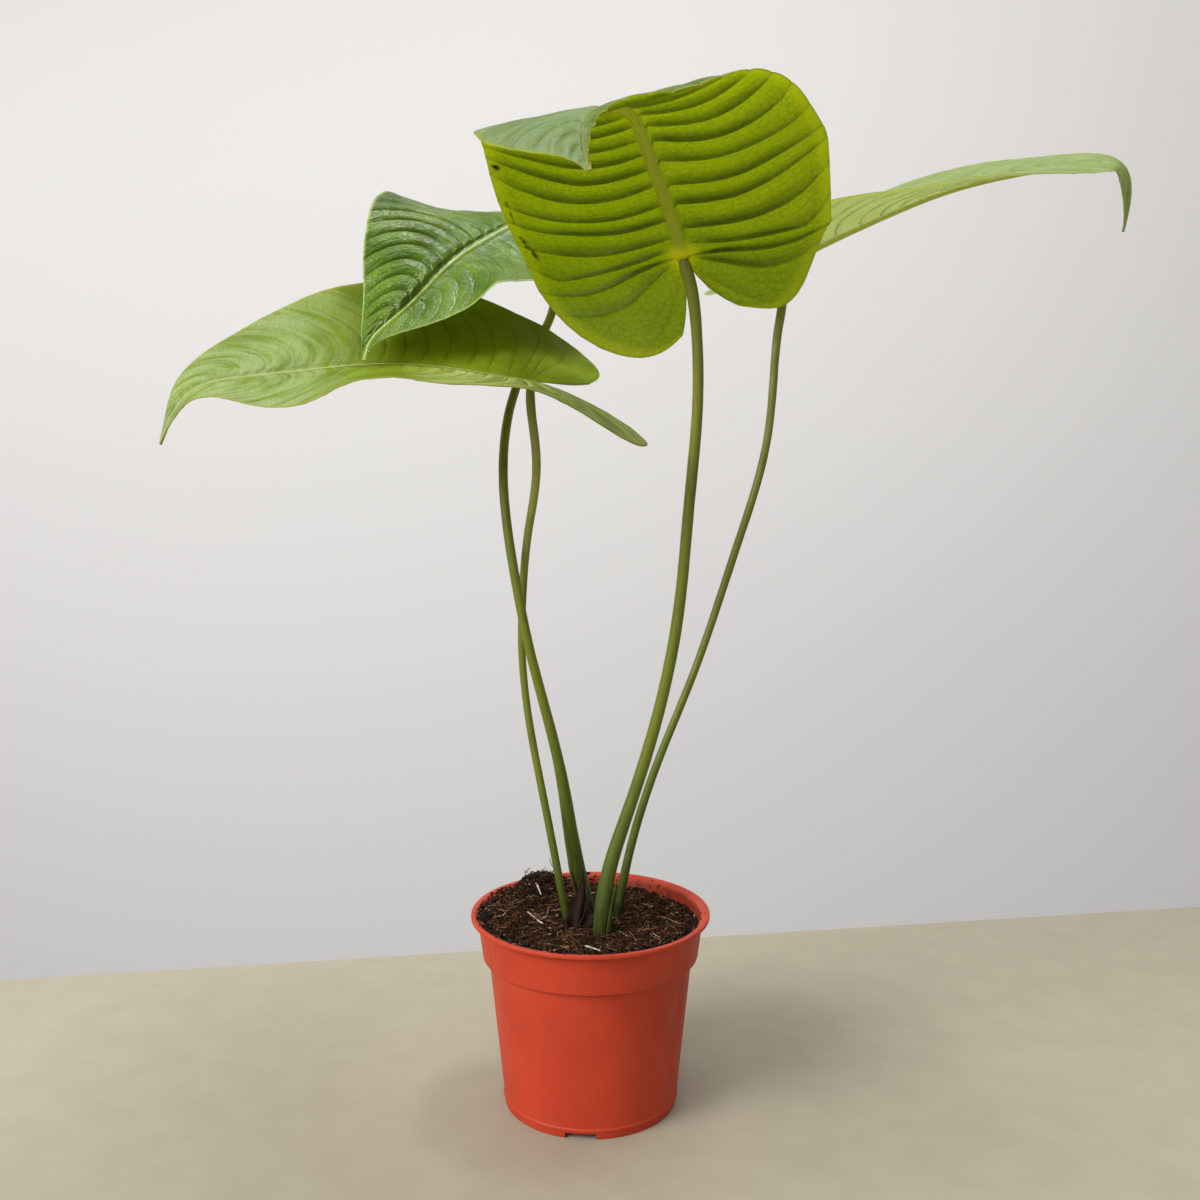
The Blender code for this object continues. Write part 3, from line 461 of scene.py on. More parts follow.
def midrib_frames(leaf, count=241):
    """Points, directions and upper normals along a leaf's midrib."""
    even, line = smooth_route(leaf["midrib"], count)
    along = unit(np.gradient(line, axis=0))
    normal = np.array(leaf["up"], float)
    normals = []
    for direction in along:
        normal = unit(normal - direction * normal.dot(direction))
        normals.append(normal)
    return even, line, along, np.array(normals)


def by_side(side, pair):
    """The left half's value where side is positive, the right half's elsewhere."""
    return np.where(side >= 0, pair[0], pair[1])


def flat_place(leaf, row, side):
    """Distances along and away from the midrib, for rows 0 to 1 and sides -1 to 1."""
    vein = row * (len(HALF_LEAF) - 1)
    root, reach, spread = np.moveaxis(spline(np.arange(len(HALF_LEAF)), HALF_LEAF, vein), -1, 0)
    root = np.clip(root, 0, 1)
    t = np.abs(side)
    moved = 1 - np.clip(1 - t / ADVANCE_EASE, 0, 1) ** 2
    advance = by_side(side, leaf["advance"]) * moved * 4 * root * (1 - root)
    root = (root + advance) * leaf["length"]
    reach = np.where(reach > 0, reach * leaf["length"], reach * by_side(side, leaf["lobe"]))
    girth = [spline(GIRTH_ROWS, part, row) for part in leaf["girth"]]
    spread = spread * by_side(side, leaf["half_width"]) * by_side(side, girth)
    lead, knee = (pair[0] + (pair[1] - pair[0]) * eased(row / SINUS_SHARE)
                  for pair in (VEIN_LEAD, VEIN_KNEE))
    middle = 2 * t * (1 - t)
    along = root * (1 - t) ** 2 + middle * (root + lead * (reach - root)) + reach * t * t
    away = middle * knee * spread + spread * t * t
    return along, away


def turn(first, second, angle):
    """Two crossed directions, both turned by an angle from the first towards the second."""
    c, s = np.cos(angle)[..., None], np.sin(angle)[..., None]
    return first * c + second * s, second * c - first * s


def vein_row(pleat, side):
    """The row of the flat leaf at a place among the side veins, counted in pleats."""
    row = np.interp(pleat, np.arange(PLEATS + 1), VEIN_ROWS)
    t = np.abs(side)
    start = VEIN_START * np.clip(1 - 2 * t, 0, 1) ** 2 * np.clip(10 * row - 2, 0, 1)
    end = VEIN_END[0] + VEIN_END[1] * np.exp(-((row - 0.2) / 0.09) ** 2)
    end = end * np.clip(2 * t - 1, 0, 1) ** 2
    return row + (start + end) * np.clip(np.minimum(row, 1 - row) / 0.15, 0, 1)


def leaf_surface(leaf, pleat, side):
    """Points of a leaf's upper face, with the pleats between its side veins."""
    row = vein_row(pleat, side)
    even, line, direction, normal = midrib_frames(leaf)
    along, away = flat_place(leaf, row, side)
    at = np.clip(along, 0, leaf["length"]) * even[-1] / leaf["length"]
    middle, ahead, up = (np.stack([np.interp(at, even, table[:, k]) for k in range(3)], -1)
                         for table in (line, direction, normal))
    ahead = unit(ahead)
    up = unit(up - ahead * np.sum(up * ahead, -1, keepdims=True))
    across = np.cross(ahead, up)

    # Behind the stalk the lobes leave the midrib's line and tilt over a short ease
    back = np.minimum(along, 0)
    tilt = np.radians(by_side(side, leaf["lobe_tilt"]))
    reached = 1 - np.exp(back / LOBE_EASE)
    mean = tilt * (1 - reached * LOBE_EASE / np.maximum(-back, 1e-6))
    mean_ahead, _ = turn(ahead, up, -np.where(back < 0, mean, 0))
    middle = middle + mean_ahead * back[..., None]
    ahead, up = turn(ahead, up, -tilt * reached)

    table = np.array(leaf["posture"], float)
    share = np.clip(along / leaf["length"], table[0, 0], table[-1, 0])
    posture = np.radians(spline(table[:, 0], table[:, 1:], share))
    roll, left, right, curl = np.moveaxis(posture, -1, 0)
    fold = by_side(side, (left, right))
    curl = np.where(side >= 0, 0, curl) / 0.1
    curl = np.where(np.abs(curl) < 1e-3, 1e-3, curl)
    across, up = turn(across, up, roll)
    out = across * np.sign(side + 1e-9)[..., None]
    lean = fold + curl * away
    place = (middle + out * ((np.sin(lean) - np.sin(fold)) / curl)[..., None]
             + up * ((np.cos(fold) - np.cos(lean)) / curl)[..., None])
    _, face = turn(out, up, lean)

    phase = pleat % 1
    bulge = np.clip(4 * phase * (1 - phase), 0, 1) ** 0.65
    t = np.abs(side)
    height = by_side(side, leaf["pleat"]) * np.clip(t / PLEAT_RISE, 0, 1)
    height = height * (1 - (1 - PLEAT_LEFT) * t ** 3)
    height = height * np.clip(pleat / 2 - 0.4, 0.15, 1) * np.clip((PLEATS - pleat) / 5, 0, 1)
    height = height * np.clip(np.hypot(along, away) / PLEAT_ROOM - 0.3, 0, 1)
    return place + face * (height * bulge)[..., None], face, along, away


class Shader:
    """Short calls that build one material from nodes."""

    def __init__(self, name):
        self.material = bpy.data.materials.new(name)
        self.material.use_nodes = True
        self.tree = self.material.node_tree
        self.tree.nodes.clear()

    def put(self, socket, value):
        if isinstance(value, bpy.types.NodeSocket):
            self.tree.links.new(value, socket)
        elif socket.type == "RGBA":
            socket.default_value = (*value[:3], 1)
        else:
            socket.default_value = value

    def add(self, kind, inputs, **settings):
        node = self.tree.nodes.new("ShaderNode" + kind)
        for key, value in settings.items():
            setattr(node, key, value)
        for key, value in inputs.items():
            self.put(node.inputs[key], value)
        return node

    def math(self, operation, first, second=0.0):
        return self.add("Math", {0: first, 1: second}, operation=operation).outputs[0]

    def times(self, first, *others):
        """The product of all the values."""
        for other in others:
            first = self.math("MULTIPLY", first, other)
        return first

    def band(self, value, low, high, start=0.0, end=1.0):
        """Goes smoothly from start to end as the value goes from low to high."""
        inputs = {"Value": value, "From Min": low, "From Max": high, "To Min": start, "To Max": end}
        return self.add("MapRange", inputs, interpolation_type="SMOOTHSTEP").outputs[0]

    def vector(self, operation, first, second=(0, 0, 0)):
        return self.add("VectorMath", {0: first, 1: second}, operation=operation).outputs[0]

    def length(self, vector):
        return self.add("VectorMath", {0: vector}, operation="LENGTH").outputs["Value"]

    def scaled(self, vector, amount):
        return self.add("VectorMath", {0: vector, "Scale": amount}, operation="SCALE").outputs[0]

    def off_line(self, point, start, end):
        """Distance of a point to the straight line between two fixed points."""
        start, end = Vector((*start, 0)), Vector((*end, 0))
        run = end - start
        near = self.vector("SUBTRACT", point, start)
        share = self.add("VectorMath", {0: near, 1: run / run.length_squared},
                         operation="DOT_PRODUCT").outputs["Value"]
        share = self.add("Math", {0: share, 1: 1.0}, operation="MINIMUM", use_clamp=True).outputs[0]
        return self.length(self.vector("SUBTRACT", near, self.scaled(run, share)))

    def noise(self, vector, scale, detail=2.0, roughness=0.5):
        inputs = {"Vector": vector, "Scale": scale, "Detail": detail, "Roughness": roughness}
        return self.add("TexNoise", inputs).outputs[0]

    def cells(self, vector, scale):
        """Distance to the edges of irregular cells."""
        inputs = {"Vector": vector, "Scale": scale}
        return self.add("TexVoronoi", inputs, feature="DISTANCE_TO_EDGE").outputs["Distance"]

    def mix(self, share, first, second):
        return self.add("Mix", {0: share, 6: first, 7: second}, data_type="RGBA").outputs[2]

    def layers(self, colour, *layers):
        """A colour under layers, each with its share and its own colour."""
        for share, layer in layers:
            colour = self.mix(share, colour, layer)
        return colour

    def ramp(self, share, stops):
        node = self.add("ValToRGB", {0: share})
        points = node.color_ramp.elements
        while len(points) < len(stops):
            points.new(0.5)
        for point, (place, colour) in zip(points, stops):
            point.position = place
            point.color = (*colour, 1)
        return node.outputs[0]

    def uv(self, name):
        """A UV map's vector and its two parts."""
        vector = self.add("UVMap", {}, uv_map=name).outputs[0]
        return vector, *self.add("SeparateXYZ", {0: vector}).outputs[:2]

    def stretch(self, vector, *scale):
        return self.add("Mapping", {"Vector": vector, "Scale": scale}).outputs[0]

    def place(self, *scale):
        """The point of the surface in metres, stretched."""
        return self.stretch(self.add("TexCoord", {}).outputs["Object"], *(scale or (1, 1, 1)))

    def bump(self, height, distance, before=None):
        """A bump whose height of 0 to 1 is a distance in metres."""
        inputs = {"Height": height, "Distance": distance, "Strength": 1.0}
        return self.add("Bump", inputs | ({"Normal": before} if before else {})).outputs[0]

    def glossy(self, colour, roughness, normal=None, level=0.5):
        """A plastic-like surface. Its level is how strongly it mirrors."""
        inputs = {"Base Color": colour, "Roughness": roughness, "Specular IOR Level": level}
        return self.add("BsdfPrincipled", inputs | ({"Normal": normal} if normal else {})).outputs[0]

    def through(self, share, surface, colour, normal=None):
        """A surface that lets a share of the light through, tinted."""
        inputs = {"Color": colour} | ({"Normal": normal} if normal else {})
        tinted = self.add("BsdfTranslucent", inputs).outputs[0]
        return self.add("MixShader", {0: share, 1: surface, 2: tinted}).outputs[0]

    def finish(self, surface):
        self.add("OutputMaterial", {"Surface": surface})
        return self.material


def linked(name, data):
    """A new object that is linked into the scene."""
    made = bpy.data.objects.new(name, data)
    bpy.context.scene.collection.objects.link(made)
    return made


def add_piece(name, mesh, materials, replaces=()):
    """A piece of the object, which rides on its body."""
    piece = linked(name, mesh)
    for material in materials:
        mesh.materials.append(material)
    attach(piece, "root")
    if replaces:
        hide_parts(*replaces)


def mesh_of(name, points, faces, maps=None, smooth=True):
    """A mesh. Each UV map is an array with a row for each face corner, in order."""
    mesh = bpy.data.meshes.new(name)
    mesh.from_pydata(np.asarray(points, float).tolist(), [], faces)
    for label, corners in (maps or {}).items():
        layer = mesh.uv_layers.new(name=label)
        layer.data.foreach_set("uv", np.asarray(corners, np.float32).ravel())
    if smooth:
        mesh.shade_smooth()
    return mesh


def grid(rows, columns, start=0, closed=False, shares=None):
    """Faces of a grid of points, and how far across and along it each of their corners lies."""
    width = columns if closed else columns + 1
    shares = np.linspace(0, 1, rows + 1) if shares is None else shares
    faces, corners = [], []
    for i in range(rows):
        for j in range(columns):
            cells = [(i, j), (i, j + 1), (i + 1, j + 1), (i + 1, j)]
            faces.append([start + a * width + b % width for a, b in cells])
            corners += [(b / columns, shares[a]) for a, b in cells]
    return faces, corners


def leaf_grid():
    """Places among the side veins, and sides, of a blade's fine grid."""
    rows = [pleat + part for pleat in range(PLEATS) for part in PLEAT_ROWS] + [PLEATS]
    middle = np.linspace(NEAR_MIDRIB[-1], NEAR_MARGIN[0], MIDDLE_COLUMNS + 2)[1:-1]
    half = np.r_[NEAR_MIDRIB, middle, NEAR_MARGIN]
    return np.meshgrid(rows, np.r_[-half[:0:-1], half], indexing="ij")


def bumpy(points, size, seed):
    """Smooth noise of about -1 to 1 over an array of points, for forms of that size in metres."""
    shift = Vector((seed * 7.1, seed * 3.3, seed * 5.7))
    flat = points.reshape(-1, points.shape[-1])
    values = [noise.noise(Vector(point) / size + shift) for point in flat]
    return np.array(values).reshape(points.shape[:-1])


def small_relief(leaf, pleat, side, along, away):
    """Height of the forms on a blade that both of its faces share, past the main pleats."""
    t = np.abs(side)
    phase = pleat % 1
    room = np.clip(away / PLEAT_ROOM, 0, 1) * (1 - 0.6 * t ** 4)
    minor = MINOR_PLEAT * np.abs(np.sin(3 * math.pi * phase)) * room
    flat = np.stack([away * np.sign(side), along, 0 * away], -1)
    uneven = leaf["uneven"] * bumpy(flat, UNEVEN_SIZE, leaf["seed"]) * np.clip(away / 0.012, 0, 1)
    puckers = leaf["pucker"] * bumpy(flat * (0.45, 1, 1), PUCKER_SIZE, leaf["seed"] + 1) * room
    wave = 0
    for half, place, width, height in leaf["waves"]:
        rise = np.exp(-((vein_row(pleat, side) - place) / width) ** 2) * np.clip(t, 0, 1) ** 3
        wave = wave + np.where(side * half > 0, height * rise, 0)
    return minor + uneven + puckers + wave


def midrib_size(leaf, along):
    """Half of the midrib's width, and its depth, along the leaf."""
    share = np.clip(along / leaf["length"], 0, 1)
    return (MIDRIB_WIDTH / 2 * (1 - MIDRIB_NARROWING * share),
            MIDRIB_DEPTH * (1 - MIDRIB_TAPER * share))


def thickness(leaf, pleat, side, along, away):
    """Thickness of a blade with the midrib and the side veins that stand out of its underside."""
    half_width, depth = midrib_size(leaf, along)
    round_rib = np.sqrt(np.clip(1 - (away / half_width) ** 2, 0, 1))
    rib = depth * round_rib * np.clip(1 + along / half_width, 0, 1)
    phase = np.abs((pleat + 0.5) % 1 - 0.5)
    t = np.abs(side)
    vein = VEIN_DEPTH * np.exp(-(phase / VEIN_WIDTH) ** 2) * (1 - 0.8 * t)
    vein = vein * np.clip((away - half_width) / VEIN_FADE, 0, 1)
    return BLADE * (1 - 0.35 * t ** 8) + rib + vein


def make_leaf(name, leaf, materials):
    pleat, side = leaf_grid()
    places, face, along, away = leaf_surface(leaf, pleat, side)
    places = places + face * small_relief(leaf, pleat, side, along, away)[..., None]

    # The pleats stop beside the midrib
    plain = leaf_surface({**leaf, "pleat": (0, 0)}, pleat, side)[0]
    beside = eased((away / midrib_size(leaf, along)[0] - 0.6) / 0.9)
    places = plain + (places - plain) * np.where(along > 0, beside, 1)[..., None]
    rows, columns = pleat.shape
    centre = columns // 2
    fan = int(np.sum(along[:, centre] <= 0)) - 1

    # Vertex numbers: the rows that start at the stalk share one point
    number = np.arange(rows * columns).reshape(rows, columns)
    number[:fan, centre] = number[fan, centre]

    down = np.gradient(places, axis=0)
    out = np.gradient(places, axis=1)
    normal = np.cross(out, down)
    size = np.linalg.norm(normal, axis=-1, keepdims=True)
    normal = np.where(size > 1e-12, normal / np.maximum(size, 1e-12), face)
    normal = np.where(np.sum(normal * face, -1, keepdims=True) < 0, -normal, normal)
    normal[:fan + 1, centre] = face[fan, centre]
    under = places - normal * thickness(leaf, pleat, side, along, away)[..., None]

    # The rim runs round the blade between its two faces
    loop = [(i, 0) for i in range(rows - 1)] + [(rows - 1, j) for j in range(columns - 1)]
    loop += [(i, columns - 1) for i in range(rows - 1, 0, -1)]
    loop += [(0, j) for j in range(columns - 1, 0, -1)]
    loop = [spot for k, spot in enumerate(loop) if number[spot] != number[loop[k - 1]]]
    spots = tuple(np.array(loop).T)
    inner = (np.clip(spots[0], 1, rows - 2), np.clip(spots[1], 1, columns - 2))
    push = places[spots] - places[inner]
    reach = np.linalg.norm(push, axis=-1, keepdims=True)
    push = push / np.maximum(reach, 1e-6) * np.clip(reach / 0.001, 0, 1)
    rim = (places[spots] + under[spots]) / 2 + push * BLADE * 0.4

    points = np.concatenate([places.reshape(-1, 3), under.reshape(-1, 3), rim])
    lower = rows * columns
    rim_start = 2 * lower
    faces, corners, kinds = [], [], []

    def add_face(vertices, cells, kind):
        """Adds a face, without the corners that fall together."""
        kept = [k for k in range(len(vertices)) if vertices[k] != vertices[k - 1]]
        if len(kept) < 3:
            return
        faces.append([vertices[k] for k in kept])
        corners.extend(cells[k] for k in kept)
        kinds.append(kind)

    for i in range(rows - 1):
        for j in range(columns - 1):
            cells = [(i, j), (i + 1, j), (i + 1, j + 1), (i, j + 1)]
            quad = [int(number[cell]) for cell in cells]
            add_face(quad, cells, 0)
            add_face([lower + k for k in quad[::-1]], cells[::-1], 1)
    for k, spot in enumerate(loop):
        after = (k + 1) % len(loop)
        ends = [int(number[loop[after]]), int(number[spot])]
        middle = [rim_start + k, rim_start + after]
        cells = [loop[after], spot, spot, loop[after]]
        add_face(ends + middle, cells, 2)
        add_face(middle[::-1] + [lower + ends[1], lower + ends[0]], cells, 2)

    cells = tuple(np.array(corners).T)
    maps = {
        "vein": np.stack([pleat[cells], side[cells]], -1),
        "flat": np.stack([away[cells] * np.sign(side[cells]), along[cells]], -1) * MAP_SCALE,
    }
    mesh = mesh_of(name, points, faces, maps)
    mesh.polygons.foreach_set("material_index", np.array(kinds, np.int32))
    if np.sum(np.cross(out, down)[rows // 2, centre // 2] * face[rows // 2, centre // 2]) > 0:
        mesh.flip_normals()
    tidy = bmesh.new()
    tidy.from_mesh(mesh)
    loose = [vertex for vertex in tidy.verts if not vertex.link_faces]
    bmesh.ops.delete(tidy, geom=loose, context="VERTS")
    tidy.to_mesh(mesh)
    tidy.free()
    add_piece(name + "_blade", mesh, materials, [name])


# How each leaf looks: the colours of its upper face and its underside from dark to light, the
# colour of the light that comes through, and how rough and how see-through it is. "shade" is how
# much painted shade darkens the blade beside each side vein, "line" how much its line shows
# above, and "right" the share of both that the right half keeps. "crumple" is the height of the
# wrinkles, "gloss" how strongly the upper face mirrors, "streak" how dark the streaks along its
# veins are, and "under_pale" how much paler the underside is painted towards the tip, as painted
# light where it lies in shade. Each painted sheen is pale colour painted on the upper face as a
# painted highlight, and on leaf_4's lobe as painted light where it lies in shade: its strength,
# between which places to the left and ahead it comes up, in metres, and its colour. A mark is a
# brown line: its half width, and places on the flat blade, as how far to the left and how far
# ahead.
LEAF_LOOKS = {
    "leaf_1": {
        "upper": ((0.090, 0.160, 0.030), (0.200, 0.290, 0.080)), "upper_rough": 0.40,
        "under": ((0.055, 0.100, 0.006), (0.150, 0.200, 0.014)), "under_rough": 0.46,
        "through": (0.67, 0.77, 0.024), "share": 0.60, "rim": (0.46, 0.46, 0.02), "shade": 0.66,
        "painted_sheen": [(0.85, (-0.010, 0.005), (0.050, 0.090), (0.36, 0.49, 0.33))], "streak": 0.1,
        "gloss": 0.4, "crumple": 0.0004, "line": 0.20, "rib": (0.40, 0.46, 0.10), "right": 1.0,
        "under_pale": 0.0,
        "marks": [(0.0013, [(0.0666, 0.0520), (0.0676, 0.0423)]),
                  (0.0009, [(0.0676, 0.0423), (0.0684, 0.0370), (0.0680, 0.0330)]),
                  (0.0017, [(0.0682, 0.0330), (0.0672, 0.0280), (0.0658, 0.0225),
                            (0.0652, 0.0165)]),
                  (0.0012, [(0.0674, 0.0270), (0.0690, 0.0220)]),
                  (0.0011, [(0.0662, 0.0245), (0.0640, 0.0215)]),
                  (0.0022, [(0.0652, 0.0715), (0.0645, 0.0698)])],
    },
    "leaf_2": {
        "upper": ((0.095, 0.180, 0.040), (0.270, 0.390, 0.150)), "upper_rough": 0.36,
        # leaf_2's underside colours and its "under_pale" are set pale as painted light, where the
        # underside lies in shade
        "under": ((0.400, 0.460, 0.190), (0.560, 0.640, 0.340)), "under_rough": 0.50,
        "through": (0.80, 0.88, 0.420), "share": 0.55, "rim": (0.60, 0.65, 0.32), "shade": 0.16,
        "painted_sheen": [(0.30, (-1.0, -0.9), (-0.05, 0.03), (0.54, 0.66, 0.36))], "streak": 0.6,
        "gloss": 0.50, "crumple": 0.0014, "line": 0.30, "rib": (0.45, 0.52, 0.15), "right": 1.0,
        "under_pale": 0.8, "marks": [],
    },
    "leaf_3": {
        "upper": ((0.060, 0.125, 0.005), (0.180, 0.290, 0.022)), "upper_rough": 0.15,
        "under": ((0.070, 0.140, 0.008), (0.140, 0.230, 0.020)), "under_rough": 0.50,
        "through": (0.40, 0.60, 0.012), "share": 0.26, "rim": (0.55, 0.64, 0.20), "shade": 0.40,
        "painted_sheen": [], "streak": 0.25,
        "gloss": 0.45, "crumple": 0.0016, "line": 0.20, "rib": (0.46, 0.56, 0.15), "right": 0.15,
        "under_pale": 0.0, "marks": [],
    },
    "leaf_4": {
        "upper": ((0.100, 0.155, 0.002), (0.230, 0.310, 0.020)), "upper_rough": 0.48,
        "under": ((0.300, 0.360, 0.070), (0.460, 0.520, 0.150)), "under_rough": 0.50,
        "through": (0.62, 0.72, 0.012), "share": 0.38, "rim": (0.38, 0.38, 0.04), "shade": 0.10,
        "painted_sheen": [(0.66, (-1.0, -0.9), (0.060, 0.115), (0.46, 0.56, 0.31)),
                  (0.95, (-0.004, -0.014), (0.060, 0.025), (0.68, 0.76, 0.27))], "streak": 0.3,
        "gloss": 0.04, "crumple": 0.0005, "line": 0.12, "rib": (0.50, 0.56, 0.22), "right": 1.0,
        "under_pale": 0.0,
        "marks": [(0.0009, [(-0.0054, 0.1320), (-0.0039, 0.1303)]),
                  (0.0010, [(0.0395, 0.1108), (0.0405, 0.1085)])],
    },
}


# A mark's colour on the blade, and that of the light that comes through it
MARK = (0.045, 0.020, 0.006)
MARK_THROUGH = (0.03, 0.01, 0.0)


def leaf_pattern(shader, look):
    """What both faces of a blade share: veins, net, shade, edge, midrib and marks, from 0 to 1."""
    flat, left, ahead = shader.uv("flat")
    fan, vein, side = shader.uv("vein")
    from_rib = shader.math("ABSOLUTE", left)
    from_stalk = shader.length(flat)
    parts = {"flat": flat, "left": left, "ahead": ahead, "from_rib": from_rib}
    parts["streaks"] = shader.noise(shader.stretch(fan, 2.2, 1.6, 1.0), 1.0, 4.0, 0.6)
    parts["junction"] = shader.band(from_stalk, 0.02, 0.10, 1.0, 0.0)
    shown = shader.times(
        shader.band(from_stalk, 0.05, 0.15), shader.band(vein, 1.0, 3.0, 0.25, 1.0),
        shader.band(from_rib, 0.014, 0.030), shader.band(left, -0.06, 0.0, look["right"], 1.0))
    wander = shader.times(shader.noise(flat, 9.0), 0.10)
    vein = shader.math("SUBTRACT", shader.math("ADD", vein, wander), 0.05)
    main = shader.band(shader.math("PINGPONG", vein, 0.5), 0.0, 0.045, 1.0, 0.0)
    parts["main"] = shader.times(main, shown)
    minor = shader.math("PINGPONG", shader.times(vein, 4.0), 0.5)
    parts["minor"] = shader.times(shader.band(minor, 0.0, 0.16, 1.0, 0.0), shown)
    parts["wrinkle"] = shader.times(parts["streaks"], shown)
    cells = shader.cells(shader.stretch(flat, 0.7, 1.0, 1.0), 42.0)
    parts["net"] = shader.band(cells, 0.0, 0.10, 1.0, 0.0)

    # Painted shade of the pleats: it is deepest just after each side vein, and fades towards the
    # margin
    parts["edge"] = shader.math("ABSOLUTE", side)
    near_middle = shader.band(parts["edge"], 0.6, 0.95, 1.0, 0.25)
    phase = shader.math("FRACT", vein)
    after_vein = shader.band(phase, 0.0, 0.50, look["shade"], 0.0)
    before_vein = shader.band(phase, 0.86, 1.0, 0.0, 0.8 * look["shade"])
    near_vein = shader.math("MAXIMUM", after_vein, before_vein)
    near_vein = shader.times(near_vein, shader.times(near_middle, shown))
    uneven = shader.noise(shader.stretch(fan, 0.6, 0.9, 1.0), 1.0, 2.0)
    parts["shade"] = shader.times(near_vein, shader.band(uneven, 0.35, 0.65, 0.40, 1.25))

    shake = shader.scaled(shader.noise(flat, 30.0, 3.0), 0.02)
    bent = shader.vector("ADD", flat, shake)
    mark = 0.0
    for width, spots in look["marks"]:
        width *= MAP_SCALE
        spots = np.array(spots) * MAP_SCALE
        for start, end in zip(spots, spots[1:]):
            line = shader.band(shader.off_line(bent, start, end), 0.3 * width, width, 1.0, 0.0)
            mark = shader.math("MAXIMUM", line, mark)
    parts["mark"] = mark
    return parts


def upper_material(name, look):
    shader = Shader(name + "_upper")
    parts = leaf_pattern(shader, look)
    flat = parts["flat"]
    dark, light = look["upper"]
    mottle = shader.noise(flat, 60.0, 3.0, 0.6)
    colour = shader.layers(
        shader.mix(shader.band(shader.noise(flat, 5.0, 3.0), 0.3, 0.7), dark, light),
        (parts["shade"], dark), (shader.band(mottle, 0.42, 0.66, 0.0, 0.40), dark))
    # Painted sheen: pale colour painted in place of reflected light, and on leaf_4's lobe painted
    # light in shade
    for strength, left, ahead, pale in look["painted_sheen"]:
        left = shader.band(parts["left"], left[0] * MAP_SCALE, left[1] * MAP_SCALE)
        ahead = shader.band(parts["ahead"], ahead[0] * MAP_SCALE, ahead[1] * MAP_SCALE,
                            0.0, strength)
        painted_sheen = shader.times(left, ahead, shader.band(parts["shade"], 0.0, 0.3, 1.0, 0.4),
                             shader.band(parts["streaks"], 0.35, 0.62, 0.35, 1.0))
        colour = shader.mix(painted_sheen, colour, pale)
    colour = shader.layers(
        colour, (shader.band(parts["streaks"], 0.34, 0.52, look["streak"], 0.0), dark),
        (shader.times(parts["net"], 0.25), light), (shader.times(parts["minor"], 0.15), light),
        (shader.times(parts["main"], look["line"]), dark),
        (shader.times(shader.band(parts["edge"], 0.972, 1.0), 0.7), look["rim"]),
        (shader.band(parts["from_rib"], 0.001, 0.008, 1.0, 0.0), look["rib"]),
        (parts["mark"], MARK))
    grain = shader.noise(flat, 160.0, 3.0)
    rough = shader.band(grain, 0.3, 0.7, look["upper_rough"] - 0.05, look["upper_rough"] + 0.08)
    normal = shader.bump(parts["net"], -0.00012)
    normal = shader.bump(parts["wrinkle"], look["crumple"], normal)
    normal = shader.bump(shader.noise(flat, 70.0, 3.0, 0.6), look["gloss"] * 0.0006, normal)
    surface = shader.glossy(colour, rough, normal, look["gloss"])
    dark = [0.5 * part for part in look["through"]]
    through = shader.layers(look["through"], (shader.times(parts["main"], 0.5), dark),
                            (parts["mark"], MARK_THROUGH))
    return shader.finish(shader.through(look["share"], surface, through, normal))


def under_material(name, look):
    shader = Shader(name + "_under")
    parts = leaf_pattern(shader, look)
    flat = parts["flat"]
    dark, light = look["under"]
    outer = shader.times(shader.band(parts["edge"], 0.88, 0.97), 0.5)
    rib = shader.band(parts["from_rib"], 0.018, 0.032, 1.0, 0.0)
    junction = shader.times(parts["junction"], 0.9)
    colour = shader.layers(
        shader.mix(shader.band(shader.noise(flat, 4.0, 3.0), 0.3, 0.7), dark, light),
        (parts["shade"], dark), (shader.times(parts["net"], 0.35), dark),
        (shader.times(parts["main"], 0.35), dark),
        # Painted light: the underside paler towards the tip, where it lies in shade
        (shader.band(parts["ahead"], 0.45, 0.85, 0.0, look["under_pale"]), (0.54, 0.66, 0.36)),
        (outer, look["rim"]), (rib, (0.36, 0.36, 0.090)), (junction, (0.62, 0.56, 0.02)),
        (parts["mark"], MARK))
    grain = shader.noise(flat, 140.0, 3.0)
    rough = shader.band(grain, 0.3, 0.7, look["under_rough"] - 0.06, look["under_rough"] + 0.12)
    normal = shader.bump(grain, 0.00012, shader.bump(parts["net"], 0.00010))
    surface = shader.glossy(colour, rough, normal, 0.25)
    dark = [0.30 * part for part in look["through"]]
    mottle = shader.noise(flat, 55.0, 3.0, 0.6)
    through = shader.layers(
        look["through"], (parts["shade"], dark), (shader.times(parts["net"], 0.30), dark),
        (shader.times(parts["main"], 0.45), dark),
        (shader.band(mottle, 0.40, 0.70, 0.0, 0.22), dark),
        (shader.times(parts["minor"], 0.20), dark), (outer, (0.85, 0.85, 0.01)),
        (shader.times(rib, 0.8), (0.46, 0.44, 0.06)), (junction, (0.95, 0.85, 0.02)),
        (parts["mark"], MARK_THROUGH))
    return shader.finish(shader.through(look["share"], surface, through, normal))


def rim_material(name, look):
    shader = Shader(name + "_rim")
    flat = shader.uv("flat")[0]
    dark = [0.5 * part for part in look["rim"]]
    surface = shader.glossy(shader.mix(shader.noise(flat, 60.0), dark, look["rim"]), 0.45)
    return shader.finish(shader.through(0.3, surface, look["rim"]))


